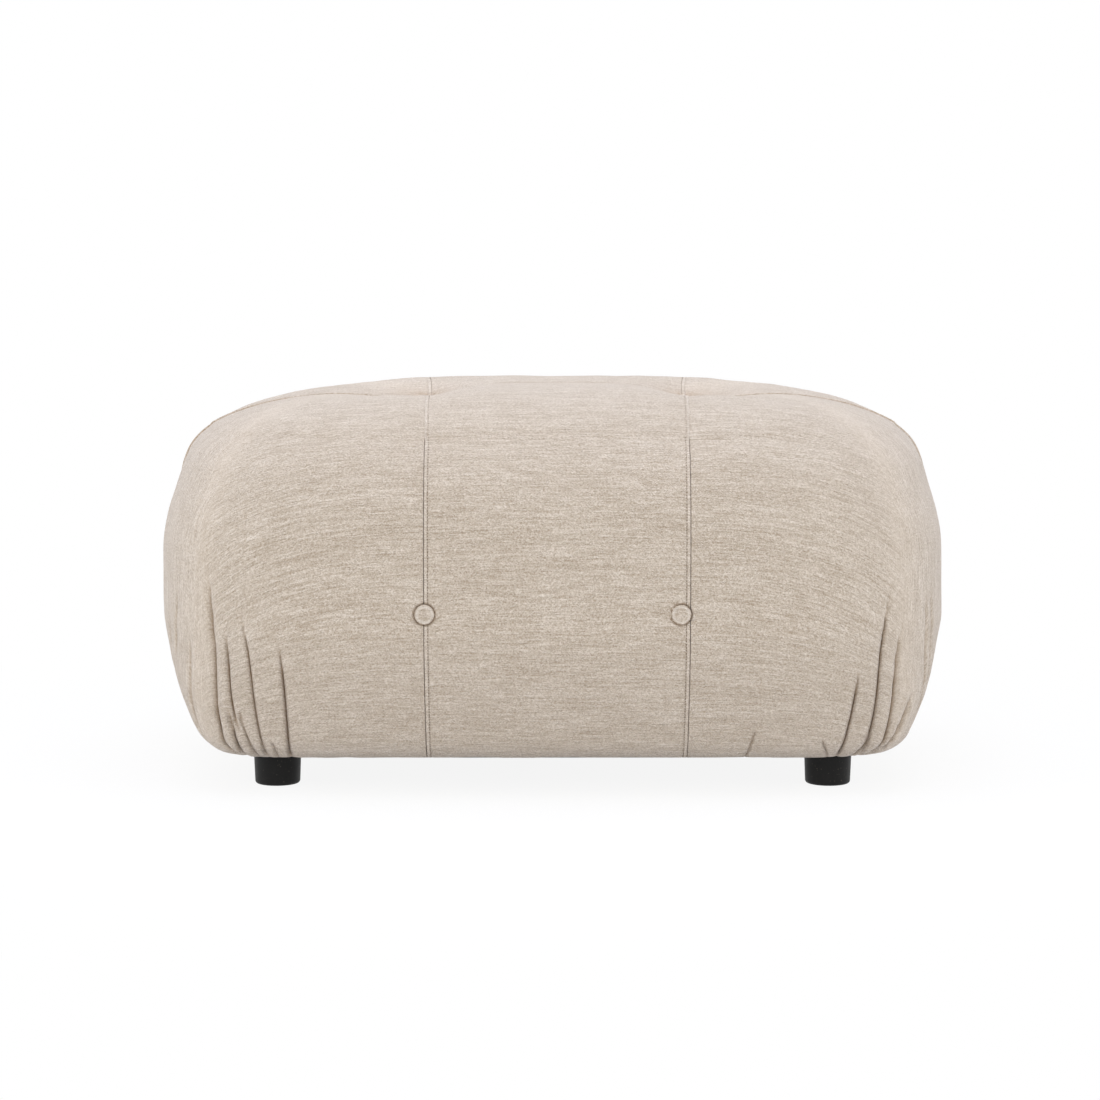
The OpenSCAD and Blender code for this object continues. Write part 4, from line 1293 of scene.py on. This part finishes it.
class OTTOMAN_OT_underside(bpy.types.Operator):
    """Moulds the feet and stretches the dust cover"""

    bl_idname = "ottoman.underside"
    bl_label = "Feet and dust cover"

    def execute(self, context):
        foot_pieces(context.scene.ottoman_trim)
        dust_cover_piece(context.scene.ottoman_trim)
        return {"FINISHED"}


class OTTOMAN_OT_inside(bpy.types.Operator):
    """Cuts the foam and finishes the frame, webbing and fasteners"""

    bl_idname = "ottoman.inside"
    bl_label = "Foam and frame"

    def execute(self, context):
        foam_pieces(context.scene.ottoman_form, context.scene.ottoman_sewing)
        finish_nodes()
        return {"FINISHED"}


def soft_lamp(name, power, size, place, aim_z, tint=(1.0, 1.0, 1.0)):
    """A rectangular lamp that looks at a height over the centre."""
    lamp = bpy.data.lights.new(name, "AREA")
    lamp.energy = power
    lamp.shape = "RECTANGLE"
    lamp.size, lamp.size_y = size
    lamp.color = tint
    piece = bpy.data.objects.new(name, lamp)
    piece.location = place
    piece.rotation_euler = (Vector((0, 0, aim_z)) - Vector(place)).to_track_quat("-Z", "Y").to_euler()
    bpy.context.scene.collection.objects.link(piece)


def seen_rays(tree):
    """1 for rays from the camera, from gloss and through glass."""
    camera = add_node(tree, "ShaderNodeLightPath", output="Is Camera Ray")
    outputs = camera.socket.node.outputs
    return camera.most(Wire(tree, outputs["Is Glossy Ray"])).most(Wire(tree, outputs["Is Transmission Ray"]))


def white_floor():
    """A pale floor that is nearly white to the camera and keeps a little shadow."""
    f = Finish("white_floor", Base_Color=(0.86, 0.86, 0.86, 1), Roughness=0.9, Specular_IOR_Level=0.0)
    far = f.node("ShaderNodeVectorMath", {0: f.place}, {"operation": "LENGTH"}, "Value").ease(0.45, 1.1)
    glow = f.node("ShaderNodeEmission", {"Strength": 1.0})
    plain = Wire(f.tree, f.shader.outputs[0])
    both = f.node("ShaderNodeMixShader", {0: seen_rays(f.tree) * (far * 0.10 + 0.90), 1: plain, 2: glow})
    f.tree.links.new(both.socket, f.tree.nodes["Material Output"].inputs["Surface"])
    return f.material


class OTTOMAN_OT_stage(bpy.types.Operator):
    """Sets up the floor, the soft lamps and the camera"""

    bl_idname = "ottoman.stage"
    bl_label = "Studio and camera"

    def execute(self, context):
        scene = context.scene
        studio = scene.ottoman_studio
        half = 8.0
        mesh = bpy.data.meshes.new("studio_floor")
        corners = [(-half, -half, 0), (half, -half, 0), (half, half, 0), (-half, half, 0)]
        mesh.from_pydata(corners, [], [(0, 1, 2, 3)])
        placed("studio_floor", mesh, white_floor())

        world = bpy.data.worlds.new("plain_white")
        world.use_nodes = True
        scene.world = world
        tree = world.node_tree
        back = tree.nodes["Background"]
        back.inputs["Color"].default_value = (1, 1, 1, 1)
        strength = seen_rays(tree) * (1.0 - studio.sky) + studio.sky
        tree.links.new(strength.socket, back.inputs["Strength"])

        soft_lamp("top_lamp", studio.top_lamp, (2.6, 2.0), (0.0, -0.3, 2.6), 0.3, (0.96, 1.0, 1.23))
        soft_lamp("front_lamp", studio.key_lamp, (3.0, 2.0), (-0.5, -4.3, 2.05), 0.25, (1.03, 1.0, 0.915))
        soft_lamp("left_lamp", studio.side_lamp, (1.6, 1.8), (-3.0, -0.9, 1.2), 0.25)
        soft_lamp("right_lamp", studio.side_lamp, (1.6, 1.8), (3.0, -0.9, 1.2), 0.25)

        camera = bpy.data.cameras.new("camera")
        camera.sensor_width = 36.0
        camera.lens = studio.lens
        camera.dof.use_dof = False
        eye = bpy.data.objects.new("camera", camera)
        eye.location = (studio.eye_x, studio.eye_y, studio.eye_z)
        eye.rotation_euler = (math.pi / 2 - studio.tilt, 0, 0)
        scene.collection.objects.link(eye)
        scene.camera = eye
        scene.view_settings.view_transform = "Standard"
        return {"FINISHED"}


class OTTOMAN_PT_panel(bpy.types.Panel):
    """Lists the ottoman's pieces and sizes"""

    bl_idname = "OTTOMAN_PT_panel"
    bl_label = "Tufted ottoman"
    bl_space_type = "VIEW_3D"
    bl_region_type = "UI"
    bl_category = "Ottoman"

    def draw(self, context):
        for operator in OPERATORS:
            self.layout.operator(operator.bl_idname)
        for name in GROUPS:
            box = self.layout.box()
            group = getattr(context.scene, name)
            for key in group.bl_rna.properties.keys():
                if key not in ("rna_type", "name"):
                    box.prop(group, key)


GROUPS = {
    "ottoman_form": OttomanForm,
    "ottoman_sewing": OttomanSewing,
    "ottoman_cloth": OttomanCloth,
    "ottoman_trim": OttomanTrim,
    "ottoman_studio": OttomanStudio,
}
OPERATORS = (OTTOMAN_OT_cover, OTTOMAN_OT_buttons, OTTOMAN_OT_underside, OTTOMAN_OT_inside, OTTOMAN_OT_stage)


def register():
    for kind in (*GROUPS.values(), *OPERATORS, OTTOMAN_PT_panel):
        bpy.utils.register_class(kind)
    for name, kind in GROUPS.items():
        setattr(bpy.types.Scene, name, PointerProperty(type=kind))


def unregister():
    for name in GROUPS:
        delattr(bpy.types.Scene, name)
    for kind in (OTTOMAN_PT_panel, *reversed(OPERATORS), *reversed(GROUPS.values())):
        bpy.utils.unregister_class(kind)


def main():
    register()
    for operator in OPERATORS:
        group, name = operator.bl_idname.split(".")
        getattr(getattr(bpy.ops, group), name)()


if __name__ == "__main__":
    main()
